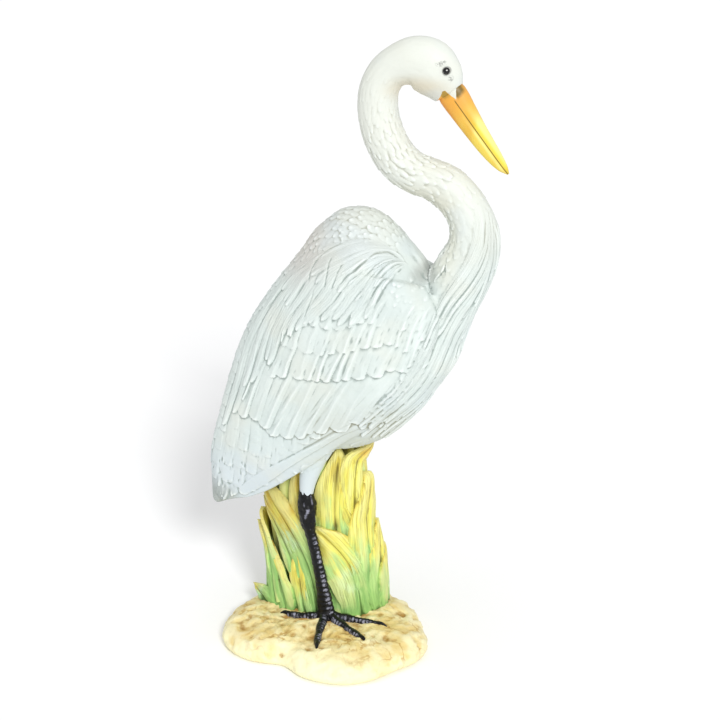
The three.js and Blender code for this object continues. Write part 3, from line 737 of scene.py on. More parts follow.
# short vertical flecks over the flight feathers, rough points at the end of the tail
for _ in range(60):
    u, v = rng.uniform(216, 300), rng.uniform(430, 488)
    if v > 492 - 0.62 * (u - 232):
        continue
    q = np.array([[u, v], [u - 0.6, v + 4], [u - 1.4, v + rng.uniform(7, 12)]])
    both_groove(sight(q), rng.uniform(0.35, 0.6), rng.uniform(0.15, 0.4), far=False, fade=0.4)
for (u, v), (du, dv), h in [((217, 472), (2, 14), 1.1), ((222, 476), (1, 18), 1.3), ((227, 480), (-2, 17), 1.5), ((231, 482), (1, 14), 1.2), ((236, 483), (-2, 12), 1.2), ((241, 480), (1, 12), 1.0), ((219, 484), (3, 13), 1.6), ((225, 487), (-1, 12), 1.7), ((230, 486), (2, 10), 1.5)]:
    both(sight([(u, v), (u + du * 0.5 + 1, v + dv * 0.5), (u + du, v + dv)]), [1.3, 1.9, 1.5], h, tip=1.9, crown=0.6, grow=1.3, soft=0.3, plainer=0.9)
for _ in range(40):
    u, v = rng.uniform(213, 250), rng.uniform(455, 494)
    q = np.array([[u, v], [u + rng.uniform(-1.5, 1.0), v + rng.uniform(2, 3.5)], [u + rng.uniform(-2.5, 1.5), v + rng.uniform(4, 8)]])
    both_groove(sight(q), rng.uniform(0.45, 0.75), rng.uniform(0.3, 0.7), far=False, fade=0.35)
# lower border of the wing: a smooth raised band with a groove above it
both(sight([(358, 427), (340, 434), (322, 444), (303, 454.5), (285, 464.5), (268, 475), (252, 485), (240, 493)]), [1.6, 2.0, 2.2, 2.6, 3.4, 4.4, 4.6, 3.2], 0.9, tip=1.2, crown=0.35, grow=0.15, plainer=1.0)
both_groove(sight([(354, 422), (338, 430), (320, 440), (301, 450.5), (283, 460), (266, 469)]), 0.75, 0.55)

note("carving: mantle")


def lanes(flow, edges, cuts, height, crown=0.8, tip=2.6, grow=0.3, wide=1.2, jitter=0.05, wander=0.16, step=2.2, **kw):
    """Plumes side by side between the guide lines; each lane is a chain of overlapping wavy pieces."""
    for j in range(len(edges) - 1):
        ua, ub = edges[j], edges[j + 1]
        shift = rng.uniform(-1, 1) * jitter * 1.5
        for v0, v1 in cuts[j % len(cuts)]:
            v0 = float(np.clip(v0 + shift + rng.uniform(-jitter, jitter), 0, 0.96))
            v1 = float(np.clip(v1 + shift + rng.uniform(-jitter, jitter), v0 + 0.05, 1))
            v, g = np.linspace(v0, v1, 24), np.linspace(0, 1, 24)
            u = 0.5 * (ua + ub) + (ub - ua) * (rng.uniform(-0.18, 0.18) + wander * np.sin(g * rng.uniform(3, 6) + rng.uniform(0, 6.3)))
            line = flow.at(u, v)
            w = 0.5 * wide * rng.uniform(0.72, 1.25) * np.linalg.norm(flow.at(ub, v) - flow.at(ua, v), axis=-1)
            w = np.clip(w, 0.6, 3.8) * (0.75 + 0.35 * np.sin(math.pi * np.minimum(1, 0.25 + 0.75 * g)))
            both(line, w, min(height, 0.4 + 0.5 * float(w.max())) * rng.uniform(0.72, 1.2), tip=tip, crown=crown, grow=grow, step=step, **kw)


def strands(flow, count, spans, lengths, halfw, height, **kw):
    """Loose thin plumes and fine cuts that lie over the lanes."""
    for _ in range(count):
        u, v0 = rng.uniform(*spans[0]), rng.uniform(*spans[1])
        v1 = min(1.0, v0 + rng.uniform(*lengths))
        v, g = np.linspace(v0, v1, 16), np.linspace(0, 1, 16)
        line = flow.at(u + 0.012 * np.sin(g * rng.uniform(2, 5) + rng.uniform(0, 6.3)), v)
        if rng.uniform() < 0.45:
            both(line, halfw * rng.uniform(0.7, 1.3), height * rng.uniform(0.8, 1.15), tip=3.0, crown=0.75, grow=0.35, step=2.2, **kw)
        else:
            both_groove(line, rng.uniform(0.38, 0.6), rng.uniform(0.2, 0.5), fade=0.35, step=2.0)


MANTLE_EDGES = np.linspace(0, 1, 17) ** 0.9
MANTLE_EDGES[1:-1] += rng.uniform(-0.014, 0.014, 15)
lanes(MANTLE, MANTLE_EDGES, [[(0.48, 1.0), (0.0, 0.68)], [(0.62, 1.0), (0.24, 0.86), (0.0, 0.5)], [(0.42, 0.96), (0.0, 0.6)]], 2.15, jitter=0.04, wander=0.1, plainer=0.85)
strands(MANTLE, 52, ((0.02, 0.98), (0.05, 0.75)), (0.14, 0.32), 0.9, 2.0, plainer=0.8)
for a, halfw, depth in [
    ([(389, 270), (382, 277), (375, 286), (369, 296)], 0.6, 0.6), ([(396, 276), (392, 284), (388, 291)], 0.5, 0.5),
    ([(384, 291), (378, 300), (373, 310)], 0.5, 0.5), ([(391, 296), (384, 306), (380, 314)], 0.5, 0.4),
    ([(368, 259), (359, 266), (352, 273)], 0.6, 0.6), ([(362, 264), (356, 269), (350, 275)], 0.5, 0.5),
    ([(404, 264), (396, 268), (388, 273)], 0.5, 0.4),
    ([(351.6, 277.7), (357.9, 267.9), (365.9, 260.7), (375.7, 253.6), (386.4, 251.8), (397, 257), (405, 262.5)], 0.65, 0.7),
    ([(379, 280.4), (384.6, 273.2), (390.9, 268), (397, 264.3), (402.5, 264.3)], 0.6, 0.6),
    ([(371.3, 296.4), (375.7, 289.3), (382.9, 280.4), (388.2, 276)], 0.6, 0.7),
    ([(375.7, 304.5), (380.2, 295.5), (384.6, 287.5), (389, 282)], 0.6, 0.75),
    ([(394.5, 282), (396.3, 276), (399.8, 270.5), (403.4, 268)], 0.5, 0.55),
    ([(324, 289.3), (325.7, 280.4), (327.5, 271.4), (329.3, 262.5), (333.8, 255.4)], 0.6, 0.7),
    ([(308, 285.7), (309.6, 275), (313.2, 266), (318.6, 258), (325.7, 251.8), (334.6, 246.4), (347, 242)], 0.6, 0.65),
    ([(303.4, 320.5), (308, 307), (312.3, 296.4), (314, 289.3)], 0.6, 0.6),
    ([(331, 291), (333, 284.8), (335.5, 278.6), (338.2, 271.4), (343.6, 262.5)], 0.6, 0.6),
]:
    both_groove(sight(a), halfw, depth, far=False)

for row, (u0, u1, v0, v1, n) in enumerate([(392, 421, 287, 283, 5), (388, 425, 296, 291, 6), (386, 428, 306, 300, 7), (390, 428, 316, 310, 7), (396, 426, 326, 321, 5)]):
    for i in range(n):
        k = (i + 0.5 * (row % 2)) / n
        u, v = mix(u0, u1, k) + rng.uniform(-2.5, 2.5), mix(v0, v1, k) + rng.uniform(-3, 3)
        d = unit(np.array([-0.5 + rng.uniform(-0.2, 0.2), 0.86]))
        both(sight(np.array([[u, v]]) - d * 9 * np.linspace(1, 0, 4)[:, None]), [1.4, 2.2, 2.2], rng.uniform(0.35, 0.8), tip=1.5, crown=0.6, grow=1.1, soft=0.7)
note("carving: hump scales")
# the ridge of the back as a line from the notch at the neck down to the tail
su = np.concatenate([np.linspace(218.6, 216, 8), np.linspace(215.5, 203, 14), np.linspace(202, 96, 60)])
prof = on_body(su, ridge(su), 0 * su)
prof = prof[prof[:, 2] > 0]
prof = resample(prof, int(np.linalg.norm(np.diff(prof, axis=0), axis=1).sum() / 5.0))
prof, prof_n = snap(prof)
edge_s, edge_t = body_coords(MANTLE.p[0])
order = np.argsort(edge_s)
edge_s, edge_t = edge_s[order], edge_t[order]


def walk(p, n, d, step, count):
    """Steps over the surface from p in direction d."""
    out = [p]
    for _ in range(count):
        d = d - n * (d @ n)
        d = d / np.linalg.norm(d)
        loc, n2, idx, _ = skin_tree.find_nearest(p + d * step)
        p, n = np.array(loc), np.array(n2)
        out.append(p)
    return np.array(out)


rows = []
for i in range(len(prof)):
    w = walk(prof[i], prof_n[i], np.array([0.0, -1.0, 0.0]), 1.2, 30)
    rows.append(w)
for i in range(1, len(rows)):
    for j in range(-6, 7):
        across = 5.1 * (abs(j) + (0.5 if i % 2 else 0)) / 1.2
        if j < 0 and i % 2:
            continue
        if across >= 29:
            continue
        k = int(across)
        tip = rows[i][k]
        s, t = body_coords(tip)
        if s < edge_s[-1] and t < np.interp(s, edge_s, edge_t) - 1.5:
            continue
        jit = rng.uniform(-0.85, 0.85, 3)
        p = resample(np.array([rows[m][k] for m in sorted({max(0, i - 3), max(0, i - 2), i - 1, i})]) + jit, 7)
        both(p, [1.9, 2.7, 3.0, 2.6], 1.5 * (1 - 0.3 * float(smooth(40, 60, tip[0]))) * rng.uniform(0.75, 1.2), tip=1.3, crown=0.5, grow=1.0, soft=0.4)

note("carving: neck")
total_neck = neck.length
step = 4.6
for i in range(int(total_neck / step) - 1):
    s = 20 + i * step
    if s > total_neck - 8:
        break
    k = float(neck.at_length(s))
    q = k * neck.last
    girth = 2 * math.pi * math.sqrt((neck.fa(q) ** 2 + neck.fb(q) ** 2) / 2)
    slim = float(np.interp(q, [2, 8, 11, 20], [1.0, 0.85, 0.66, 0.6]))
    long = float(np.interp(q, [2, 8, 20], [8.5, 9.5, 13]))
    n = max(10, int(round(girth / (4.9 * slim))))
    for j in range(n):
        a = 2 * math.pi * (j + (0.5 if i % 2 else 0) + rng.uniform(-0.32, 0.32)) / n
        front = 0.5 - 0.5 * math.cos(a)  # 0 at the back of the neck, 1 at its front
        if math.sin(a) > 0.02:
            continue
        amount = float(np.interp(q, [2, 5, 7, 9, 11, 13, 16, 20], [0.75, 0.75, 1.0, 1.05, 0.75, 0.4, 0.2, 0.12]))
        if q < 7:
            amount *= 1 - 0.5 * smooth(0.15, 0.5, front)
        kk = neck.at_length(np.array([s + long, s + 0.6 * long, s + 0.3 * long, s]) + rng.uniform(-1.6, 1.6))
        p = neck.at(kk, a + np.linspace(0, 1, 4) * rng.uniform(-0.12, 0.12))
        both(p, np.array([1.4, 2.2, 2.4, 1.9]) * slim, amount * rng.uniform(0.35, 1.25), tip=2.0, crown=0.6, grow=1.0, soft=0.5, step=2.0)

note("carving: breast")
BREAST = Flow([
    [(495.5, 222), (497, 236), (496.5, 250), (494, 265), (490, 280), (485, 295), (478, 311), (469, 327), (461, 341), (456, 355), (449, 370), (440, 383), (431, 395), (420, 407), (407, 417), (393, 427), (379, 438)],
    [(489, 213), (491.5, 232), (490.5, 252), (486, 270), (478, 286), (468, 301), (457, 315), (449, 329), (442, 343), (436, 357), (429, 371), (420, 385), (409, 397), (397, 408), (385, 418), (373, 428), (362, 436)],
    [(481, 205), (486, 224), (485, 244), (479, 262), (470, 278), (458, 293), (447, 307), (440, 320), (434, 334), (428, 348), (421, 362), (413, 376), (404, 389), (394, 400), (383, 409), (371, 419), (359, 428)],
    [(471, 196), (475, 214), (473, 235), (467, 255), (458, 272), (448, 287), (440, 300), (435, 313), (430, 326), (424, 340), (417, 354), (409, 368), (401, 381), (392, 393), (381, 402), (369, 411), (358, 420)],
])
lanes(BREAST, np.array([0, 0.11, 0.2, 0.31, 0.41, 0.53, 0.63, 0.73, 0.84, 0.92, 1.0]), [[(0.56, 1.0), (0.26, 0.8), (0.0, 0.5)], [(0.66, 1.0), (0.36, 0.9), (0.0, 0.6)], [(0.48, 0.95), (0.1, 0.7), (0.0, 0.3)]], 1.8, crown=0.8, wander=0.12, plainer=0.85)
strands(BREAST, 30, ((0.03, 0.97), (0.02, 0.8)), (0.12, 0.3), 0.9, 1.65, plainer=0.8)
for path in ([(494, 262), (486, 292), (474, 318), (461, 339)], [(470, 326), (459, 345), (450, 364), (440, 384)], [(452, 362), (445, 376), (437, 388), (428, 400)]):
    both(sight(path), [1.0, 1.8, 2.3, 2.0], 2.3, tip=1.8, crown=0.6, grow=0.9)
# plumes down the middle of the breast, where the two sides meet
front = resample(BREAST.p[0], 160)
for off in (-9.6, -6.4, -3.3, 0.0):
    v = rng.uniform(0, 0.08)
    while v < 0.9:
        span = rng.uniform(0.16, 0.3)
        line = front[int(v * 159):int(min(0.99, v + span) * 159) + 1].copy()
        g = np.linspace(0, 1, len(line))
        line[:, 1] = BIRD_Y + off + rng.uniform(-0.4, 0.3) + 0.5 * np.sin(g * rng.uniform(2, 5) + rng.uniform(0, 6.3))
        both(line, [1.0, 1.7, 2.0, 1.6], rng.uniform(1.6, 2.2), tip=2.8, crown=0.8, grow=0.4, step=2.0, plainer=0.95 if off else 0.0)
        v += span * rng.uniform(0.5, 0.75)
# choppy tufts under the wing
for j in range(60):
    u, v = rng.uniform(0.1, 1.0), rng.uniform(0.66, 0.97)
    p = BREAST.at(u, v, BREAST.flat)
    d = np.array([-0.8 + rng.uniform(-0.15, 0.2), 0.6])
    path = p - d * rng.uniform(10, 17) * np.linspace(1, 0, 4)[:, None]
    both(sight(path), [0.9, 1.35, 1.25], rng.uniform(1.1, 2.0), tip=2.0, crown=0.7, grow=0.9, plainer=0.8)
# leading edge of the wing: a narrow band of small overlapping feathers
line = resample([(426, 334), (421, 347), (415, 359), (409, 371), (403, 382), (395, 396), (385, 406), (374, 411), (366, 418), (358, 425)], 14)
for i in range(1, 14):
    d = unit(line[i] - line[i - 1])
    out = np.array([-d[1], d[0]])
    for off, h in ((1.5, 0.9), (-5, 0.7)):
        tip = line[i] - out * (-off) + d * rng.uniform(-1, 1)
        path = tip - (d * 13 - out * 1.5) * np.linspace(1, 0, 4)[:, None]
        both(sight(path), [1.4, 2.1, 2.1], 1.4 * h * rng.uniform(0.8, 1.2), tip=1.2, crown=0.4, grow=1.1)
# underside and tail: plain lengthwise feathers
ks = np.linspace(14, 150, 20)
for i, s in enumerate(ks):
    for j in range(4):
        yy = 5.5 * (j + (0.5 if i % 2 else 0.0))
        if yy > float(half(s)) - 3:
            continue
        p = on_body(np.array([s + 17, s + 8, s]), keel(np.array([s + 17, s + 8, s])), -np.array([yy, yy, yy]) - 0.2)
        both(p, [2.2, 3.1, 3.0], 0.8 * rng.uniform(0.8, 1.2), tip=1.3, crown=0.5, grow=1.1)
# lower back and top of the tail: the same plain feathers, below the scales of the hump
plain = np.random.default_rng(77)
for i, s in enumerate(np.linspace(12, 104, 14)):
    for j in range(4):
        yy = 5.5 * (j + (0.5 if i % 2 else 0.0))
        if yy > float(half(s)) - 3:
            continue
        q = np.array([s + 17, s + 8, s])
        both(on_body(q, ridge(q), -np.array([yy, yy, yy]) - 0.2), [2.2, 3.1, 3.0], 1.0 * plain.uniform(0.8, 1.2), tip=1.3, crown=0.5, grow=1.1)
# folds: where the shoulder meets the neck, and the crease between neck and wing
across = np.linspace(-9, 33, 30)
fold, fold_n = snap(np.stack([67.5 + 0 * across, across, 262.0 + 0 * across], -1))
relief.groove(fold, fold_n, np.full(30, 5.0), 3.4, fade=0.25)
both_groove(sight([(409, 251), (416, 259), (423, 266)]), 2.4, 1.2, fade=0.4)
both_groove(sight([(424, 272), (429, 284), (432, 300), (437, 311), (436, 322), (430, 334)]), 1.9, 0.75, fade=0.3)

relief.h = relax(relief.h, EDGES, NV, 1, keep=0.75)
H = relief.h
around_h = relax(H, EDGES, NV, 12)
# the lines between feathers (positive) later get the painted shade of the white bisque, and the crests (negative) its
# painted highlight
CAV = around_h - H  # positive in the lines between feathers
level = relax(around_h, EDGES, NV, 50)
fine = noise(P, 2.0, 5) * 0.05 + noise(P, 5, 6) * 0.07
D = P + N * (H - 0.9 * level + fine)[:, None]
mesh = bird.data
mesh.vertices.foreach_set("co", D.astype(np.float32).ravel())
mesh.update()
note("bird carved")


def chart(flow, lanes_per):
    """For the points under a flow: number of lanes across (a smooth field) and how surely they are in it."""
    nu, nv = 60, 110
    u, v = np.meshgrid(np.linspace(0, 1, nu), np.linspace(0, 1, nv), indexing="ij")
    g = flow.at(u, v).reshape(-1, 3)
    t = KDTree(len(g))
    for i, x in enumerate(g):
        t.insert(x, i)
    t.balance()
    near = P.copy()
    near[:, 1] = np.where(near[:, 1] > BIRD_Y, 2 * BIRD_Y - near[:, 1], near[:, 1])
    lo, hi = g.min(0) - 2, g.max(0) + 2
    idx = np.where(((near > lo) & (near < hi)).all(1))[0]
    a, b = np.zeros(NV), np.zeros(NV)
    uu, vv = u.ravel(), v.ravel()
    for i in idx:
        hit = t.find_n(near[i], 3)
        if hit[0][2] > 3:
            continue
        w = [1 / (x[2] + 0.05) ** 2 for x in hit]
        k = sum(w)
        a[i] = sum(wi * uu[x[1]] for wi, x in zip(w, hit)) / k
        vk = sum(wi * vv[x[1]] for wi, x in zip(w, hit)) / k
        b[i] = max(0.0, 1 - max(0.0, hit[0][2] - 1) / 1.5) * min(1.0, vk * 12, (1 - vk) * 8)
    return a * lanes_per, b


flow_m, sure_m = chart(MANTLE, 16)
flow_b, sure_b = chart(BREAST, 10)
sure_m = sure_m * (1 - 0.999 * (sure_b > sure_m))
sure_b = sure_b * (1 - 0.999 * (sure_m > sure_b))
note("flow fields")

HIGH = KDTree(NV)
for i, p in enumerate(D):
    HIGH.insert(p, i)
HIGH.balance()
bird = decimated(bird, 210000)
side_y = points_of(bird.data)[:, 1]
group = bird.vertex_groups.new(name="far")
group.add([int(i) for i in np.where(side_y > BIRD_Y + 1)[0]], 1.0, "REPLACE")
m = bird.modifiers.new("thin", "DECIMATE")
m.decimate_type, m.ratio, m.use_collapse_triangulate = "COLLAPSE", BIRD_FACES / len(faces_of(bird.data)), True
m.vertex_group, m.vertex_group_factor = "far", 1000.0
applied(bird)
bird.vertex_groups.clear()
note(f"bird thinned to {len(bird.data.polygons)}: {int((points_of(bird.data)[:, 1] > BIRD_Y).sum())} far, {int((points_of(bird.data)[:, 1] <= BIRD_Y).sum())} near points")
back_to = np.array([HIGH.find(p)[1] for p in points_of(bird.data)])


REGIONS = ["bisque", "eye", "leg", "reeds", "base"]
FIELDS = ["cav", "pa", "pb", "pc", "pd", "pe"]


def dress(obj, region, **fields):
    """Gives every corner of a mesh its paint fields (by point), and every face its region."""
    mesh = obj.data
    loops = np.empty(len(mesh.loops), np.int32)
    mesh.loops.foreach_get("vertex_index", loops)
    for name in FIELDS:
        values = fields.get(name)
        a = mesh.attributes.new(name, "FLOAT", "CORNER")
        a.data.foreach_set("value", (np.zeros(len(loops)) if values is None else np.broadcast_to(values, (len(mesh.vertices),))[loops]).astype(np.float32))
    a = mesh.attributes.new("region", "INT", "FACE")
    a.data.foreach_set("value", np.full(len(mesh.polygons), REGIONS.index(region), np.int32))
    return obj


dress(bird, "bisque", cav=CAV[back_to], pa=flow_m[back_to], pb=sure_m[back_to], pc=flow_b[back_to], pd=sure_b[back_to])

# ------------------------------------------------------------------ bill, eyes
up_f, down_f, w_f = (column(BILL_SECTIONS, k) for k in (1, 2, 3))


def bill_mesh(steps=56, around=36):
    s = np.linspace(BILL_SECTIONS[0][0], BILL["length"], steps + 1)[:, None]
    a = (2 * math.pi * np.arange(around) / around)[None]
    ca, sa = np.cos(a), np.sin(a)
    h = np.where(ca > 0, up_f(s), down_f(s)) * np.sign(ca) * np.abs(ca) ** 1.08
    slit = 0.5 * np.exp(-((h + 0.3) / 0.6) ** 2) * smooth(-2, 3, s)
    w = np.maximum(w_f(s) * np.abs(sa) ** 0.92 - slit, 0.02) * np.sign(sa)
    w = np.where(np.abs(sa) < 1e-9, 0, w)
    return skin(np.stack([BILL["x"] + BILL["dx"] * s - BILL["dz"] * h, BIRD_Y + w + 0 * h, BILL["z"] + BILL["dz"] * s + BILL["dx"] * h], -1))


def ball(centre, r, nu=36, nv=22):
    t = np.linspace(0.04, math.pi - 0.04, nv)[:, None]
    a = (2 * math.pi * np.arange(nu) / nu)[None]
    return skin(np.stack([centre[0] + r * np.sin(t) * np.cos(a), centre[1] + r * np.cos(t) + 0 * a, centre[2] + r * np.sin(t) * np.sin(a)], -1))


# ------------------------------------------------------------------ base
LEVELS = np.array([[-3.5, 0], [-0.8, 1.6], [0, 5], [-1.8, 9.5], [-6, 12.6], [-14, 14.2], [-30, 15], [-48, 15.5]], float)


def base_radius(deg):
    def bump(at, size, spread):
        d = np.abs(deg - at) % 360
        d = np.where(d > 180, 360 - d, d)
        return size * np.exp(-((d / spread) ** 2))

    return (BASE_R + bump(250, -15, 21) + bump(306, 3.2, 18) + bump(278, -1.5, 12) + bump(200, 5, 22) + bump(20, -0.5, 16) + bump(58, 2.5, 20)
            + bump(112, -3, 18) + bump(86, 3, 20) + bump(150, 4, 18) + bump(174, 3, 14) + bump(352, 7, 18))


def ground(x, y):
    """Height of the sand at x, y."""
    r, deg = np.hypot(x - 2, y - 2), np.degrees(np.arctan2(y - 2, x - 2)) % 360
    top = through(-LEVELS[3:, 0], LEVELS[3:, 1])
    return top(np.maximum(2, base_radius(deg) - r)) + 0.6 * np.sin(x / 9 + 1) * np.cos(y / 8)


def base_mesh(steps=38, around=200):
    s = np.concatenate([[0], np.cumsum(np.linalg.norm(np.diff(LEVELS, axis=0), axis=1))])
    q = np.linspace(0, 1, steps + 1) ** 1.12 * s[-1]
    inset, z = through(s, LEVELS[:, 0])(q)[:, None], through(s, LEVELS[:, 1])(q)[:, None]
    deg = (360 * np.arange(around) / around)[None]
    r = np.maximum(8, base_radius(deg) + inset)
    x, y = 2 + r * np.cos(np.radians(deg)), 2 + r * np.sin(np.radians(deg))
    top = smooth(-4, -12, inset + 0 * deg)
    zz = z + 0.6 * np.sin(x / 9 + 1) * np.cos(y / 8) * top
    p = np.stack([x, y, zz], -1)
    out = np.stack([np.cos(np.radians(deg)) + 0 * x, np.sin(np.radians(deg)) + 0 * x, 0 * x], -1)
    n = unit(out * (1 - top[..., None]) + np.array([0, 0, 1.0]) * (0.25 + top[..., None]))
    q = p + 4.5 * np.stack([noise(p, 9, 31), noise(p, 9, 32), 0 * zz], -1)
    lump = 1.3 * noise(p, 12, 1) + 2.4 * (0.5 - np.abs(noise(q * [1, 1, 0.8], 8.0, 2))) + 1.7 * (0.5 - np.abs(noise(q * [1.4, 0.75, 1], 3.8, 9)))
    lump = lump * smooth(0.0, 4.5, zz)
    return skin(p + n * lump[..., None])


# ------------------------------------------------------------------ leg and toes
shank = Tube(SHANK, LEG_Y)


def shank_mesh(steps=140, around=28):
    k, a = np.linspace(0, 1, steps + 1)[:, None], (2 * math.pi * np.arange(around) / around)[None]
    p = shank.at(k, a)
    z = p[..., 2]
    facing = 0.72 * np.cos(a) - 0.69 * np.sin(a)
    plate = np.clip(1 - (np.abs((((z + 0.6 * np.sin(a * 2)) / 3.3) % 1) - 0.5) * 2.3) ** 4, 0, 1)
    shaft, knob = smooth(80, 75, z), smooth(78, 84, z)
    lumps = np.maximum(0, noise(np.stack([z * 0.22 + 0 * a, 3.4 * np.cos(a) + 0 * z, 3.4 * np.sin(a) + 0 * z], -1), 1.0, 11))
    out = 0.55 * plate * smooth(0.1, 0.7, facing) * shaft + 0.28 * noise(p, 1.7, 3) + knob * (1.3 * lumps + 0.5 * np.abs(np.sin(a * 5 + 0.2 * z)) - 0.35) + 0.2 * noise(p, 4, 4)
    # pale marks on the scutes and the lumps of the knob, kept to the front-right side that faces the light: pale paint
    # and painted highlight together
    mark = plate * smooth(0.87, 0.985, facing) * shaft * (0.6 + 0.5 * noise(p, 2.0, 12)) + 0.55 * knob * smooth(0.25, 0.6, lumps) * smooth(0.3, 0.8, facing)
    rings = shank.at(k, a, out)
    return skin(rings), np.concatenate([mark.ravel(), [0, 0]])


def toe_mesh(tx, ty, r, steps=60, around=14):
    k = np.linspace(0, 1, steps + 1)[:, None]
    length = math.hypot(tx - 2, ty - LEG_Y)
    d = ((tx - 2) / length, (ty - LEG_Y) / length)
    sway = 1.6 * np.sin(math.pi * k) * (1 if ty > -30 else -1)
    x, y = mix(2, tx, k) - d[1] * sway, mix(LEG_Y, ty, k) + d[0] * sway
    claw = np.maximum(0, (k - 0.8) / 0.2)
    knuckle = 1 + 0.11 * np.cos(2 * math.pi * k * 3)
    plate = np.clip(1 - (np.abs(((k * length / 2.5) % 1) - 0.5) * 2.1) ** 4, 0, 1) * (1 - smooth(0, 0.25, claw)) * smooth(0.08, 0.2, k)
    rr = mix(0.59 * r * knuckle, 0.45, claw ** 1.2) * mix(1.45, 0.88, np.minimum(1, k * 1.6)) + 0.3 * plate
    z = ground(x, y) + 1.15 - 0.9 * claw + 4.5 * np.maximum(0, 1 - k * 3.6) ** 1.5 + 1.3 * np.sin(math.pi * np.clip(claw, 0, 1)) * (claw > 0)
    a = (2 * math.pi * np.arange(around) / around)[None]
    p = np.stack([x - d[1] * rr * np.cos(a), y + d[0] * rr * np.cos(a), z + rr * np.sin(a)], -1)
    mark = plate * smooth(0.5, 0.85, np.cos(a - math.radians(15 if tx < 0 else 165 if tx > 20 else 60))) * (0.5 + 0.5 * noise(p, 2.0, 13))
    return skin(p), np.concatenate([mark.ravel(), [0, 0]])


# ------------------------------------------------------------------ reeds
core_x, core_y, core_rx, core_ry = (column(CORE, k) for k in (1, 2, 3, 4))


def on_core(deg, z, out):
    a = np.radians(deg)
    return np.stack([core_x(z) + (core_rx(z) + out) * np.sin(a), core_y(z) - (core_ry(z) + out) * np.cos(a), z + 0 * a + 0 * out], -1)


def core_mesh(steps=36, around=64):
    z = np.linspace(8, 150, steps + 1)[:, None]
    deg = (360 * np.arange(around) / around)[None]
    out = 1.1 * np.sin(np.radians(deg) * 13 + 0.05 * z) + 0.6 * np.sin(np.radians(deg) * 29 + 1)
    return skin(on_core(deg + 0 * z, z + 0 * deg, out)), z[:, 0], out


def leaf_width(k):
    return 0.10 + 0.90 * np.sin(math.pi * np.minimum(1, 0.22 + 0.78 * k ** 1.15)) ** 0.75


def leaf_mesh(spine, width, lift, tip, steps=44, ribs=18, seed=0):
    last = len(spine) - 1
    fa, fz = numbered(spine, 0), numbered(spine, 1)
    k = (np.linspace(0, 1, steps + 1) ** 0.94)[:, None]
    v = np.linspace(0, 1, ribs + 1)[None]
    q = k * last
    z0, a0 = fz(q), fa(q)
    r = np.hypot(core_rx(z0) * np.cos(np.radians(a0)), core_ry(z0) * np.sin(np.radians(a0)))
    da = (fa(np.minimum(last, q + 0.02)) - fa(np.maximum(0, q - 0.02))) * math.pi / 180 * r
    dz = fz(np.minimum(last, q + 0.02)) - fz(np.maximum(0, q - 0.02))
    ln = np.maximum(np.hypot(da, dz), 1e-9)
    x = 2 * v - 1
    half_w = 0.5 * width * leaf_width(k)
    edge = 1 + 0.09 * np.sin(9 * k + seed * 1.7 + 2 * np.sign(x)) * np.abs(x) + 0.03 * np.sin(23 * k + seed)
    w = half_w * edge * x
    a, z = a0 + np.degrees(dz / ln * w / r), z0 - da / ln * w
    mm = x * half_w
    rise = lift * np.sin(math.pi * np.minimum(1, 0.25 + 0.6 * k)) + tip * k ** 3 + 1.9 * (1 - x ** 2) - 1.5 * np.exp(-((mm / 1.3) ** 2))
    vein = np.cos(mm * 2 * math.pi / (3.4 + 1.2 * np.sin(mm * 0.45 + seed)) + 1.3 * np.sin(4 * k + seed)) * (0.5 + 0.5 * np.sin(7 * k + 0.8 * mm + seed))
    rise = rise + 0.28 * vein * smooth(0.0, 0.15, k) + 1.3 * np.sin(5 * k + 2 * seed) * np.abs(x) ** 2 * np.sign(x) + 0.5 * np.sin(13 * k + seed) * np.abs(x) ** 3
    outer, inner = on_core(a, z, rise), on_core(a, z, mix(-5, rise - 2.3, smooth(0.05, 0.5, k)))
    pts, groups = sheet(outer, inner)
    n = ribs + 1

    def both_sides(f):
        f = f + 0 * k + 0 * v
        return np.concatenate([f, f[:, ::-1]], axis=1).ravel()

    return (pts, groups), dict(pa=both_sides(k), pb=both_sides(mm), pc=both_sides(half_w))


note("reeds")
leaf_list = list(LEAVES)
for i, (a0, a1, count, top, width, lift) in enumerate(BACK_RINGS):
    for k in range(count):
        a, sway = mix(a0, a1, k / (count - 1)), 8 * math.sin(k * 2.1 + i)
        tp = top + 11 * math.sin(k * 2.4 + 2 * i)
        leaf_list.append(([[a, 12], [a + sway * 0.4, 12 + (tp - 12) * 0.4], [a + sway, 12 + (tp - 12) * 0.72], [a + sway * 1.6, tp]], width * (1 + 0.15 * math.sin(3 * k + i)), lift, 2.5, 0.5 + 0.08 * math.sin(5 * k + i), 0.4))

core, core_z, _ = core_mesh()
pieces = [dress(to_object("reeds", to_mesh("reeds", *core)), "reeds", pa=np.concatenate([np.repeat(core_z / 150, 64), [0, 1]]), pb=3.0, pc=6.0, pd=0.8, pe=0.0)]
for i, (sp, width, lift, tip, green, ochre) in enumerate(leaf_list):
    grid = (36, 14) if i < len(LEAVES) else (20, 8)
    (pts, groups), fields = leaf_mesh(sp, width, lift, tip, *grid, seed=i)
    pieces.append(dress(to_object("leaf", to_mesh("leaf", pts, groups)), "reeds", pd=green, pe=ochre, **fields))
reeds = union(pieces)
note(f"reeds joined: {len(faces_of(reeds.data))}")

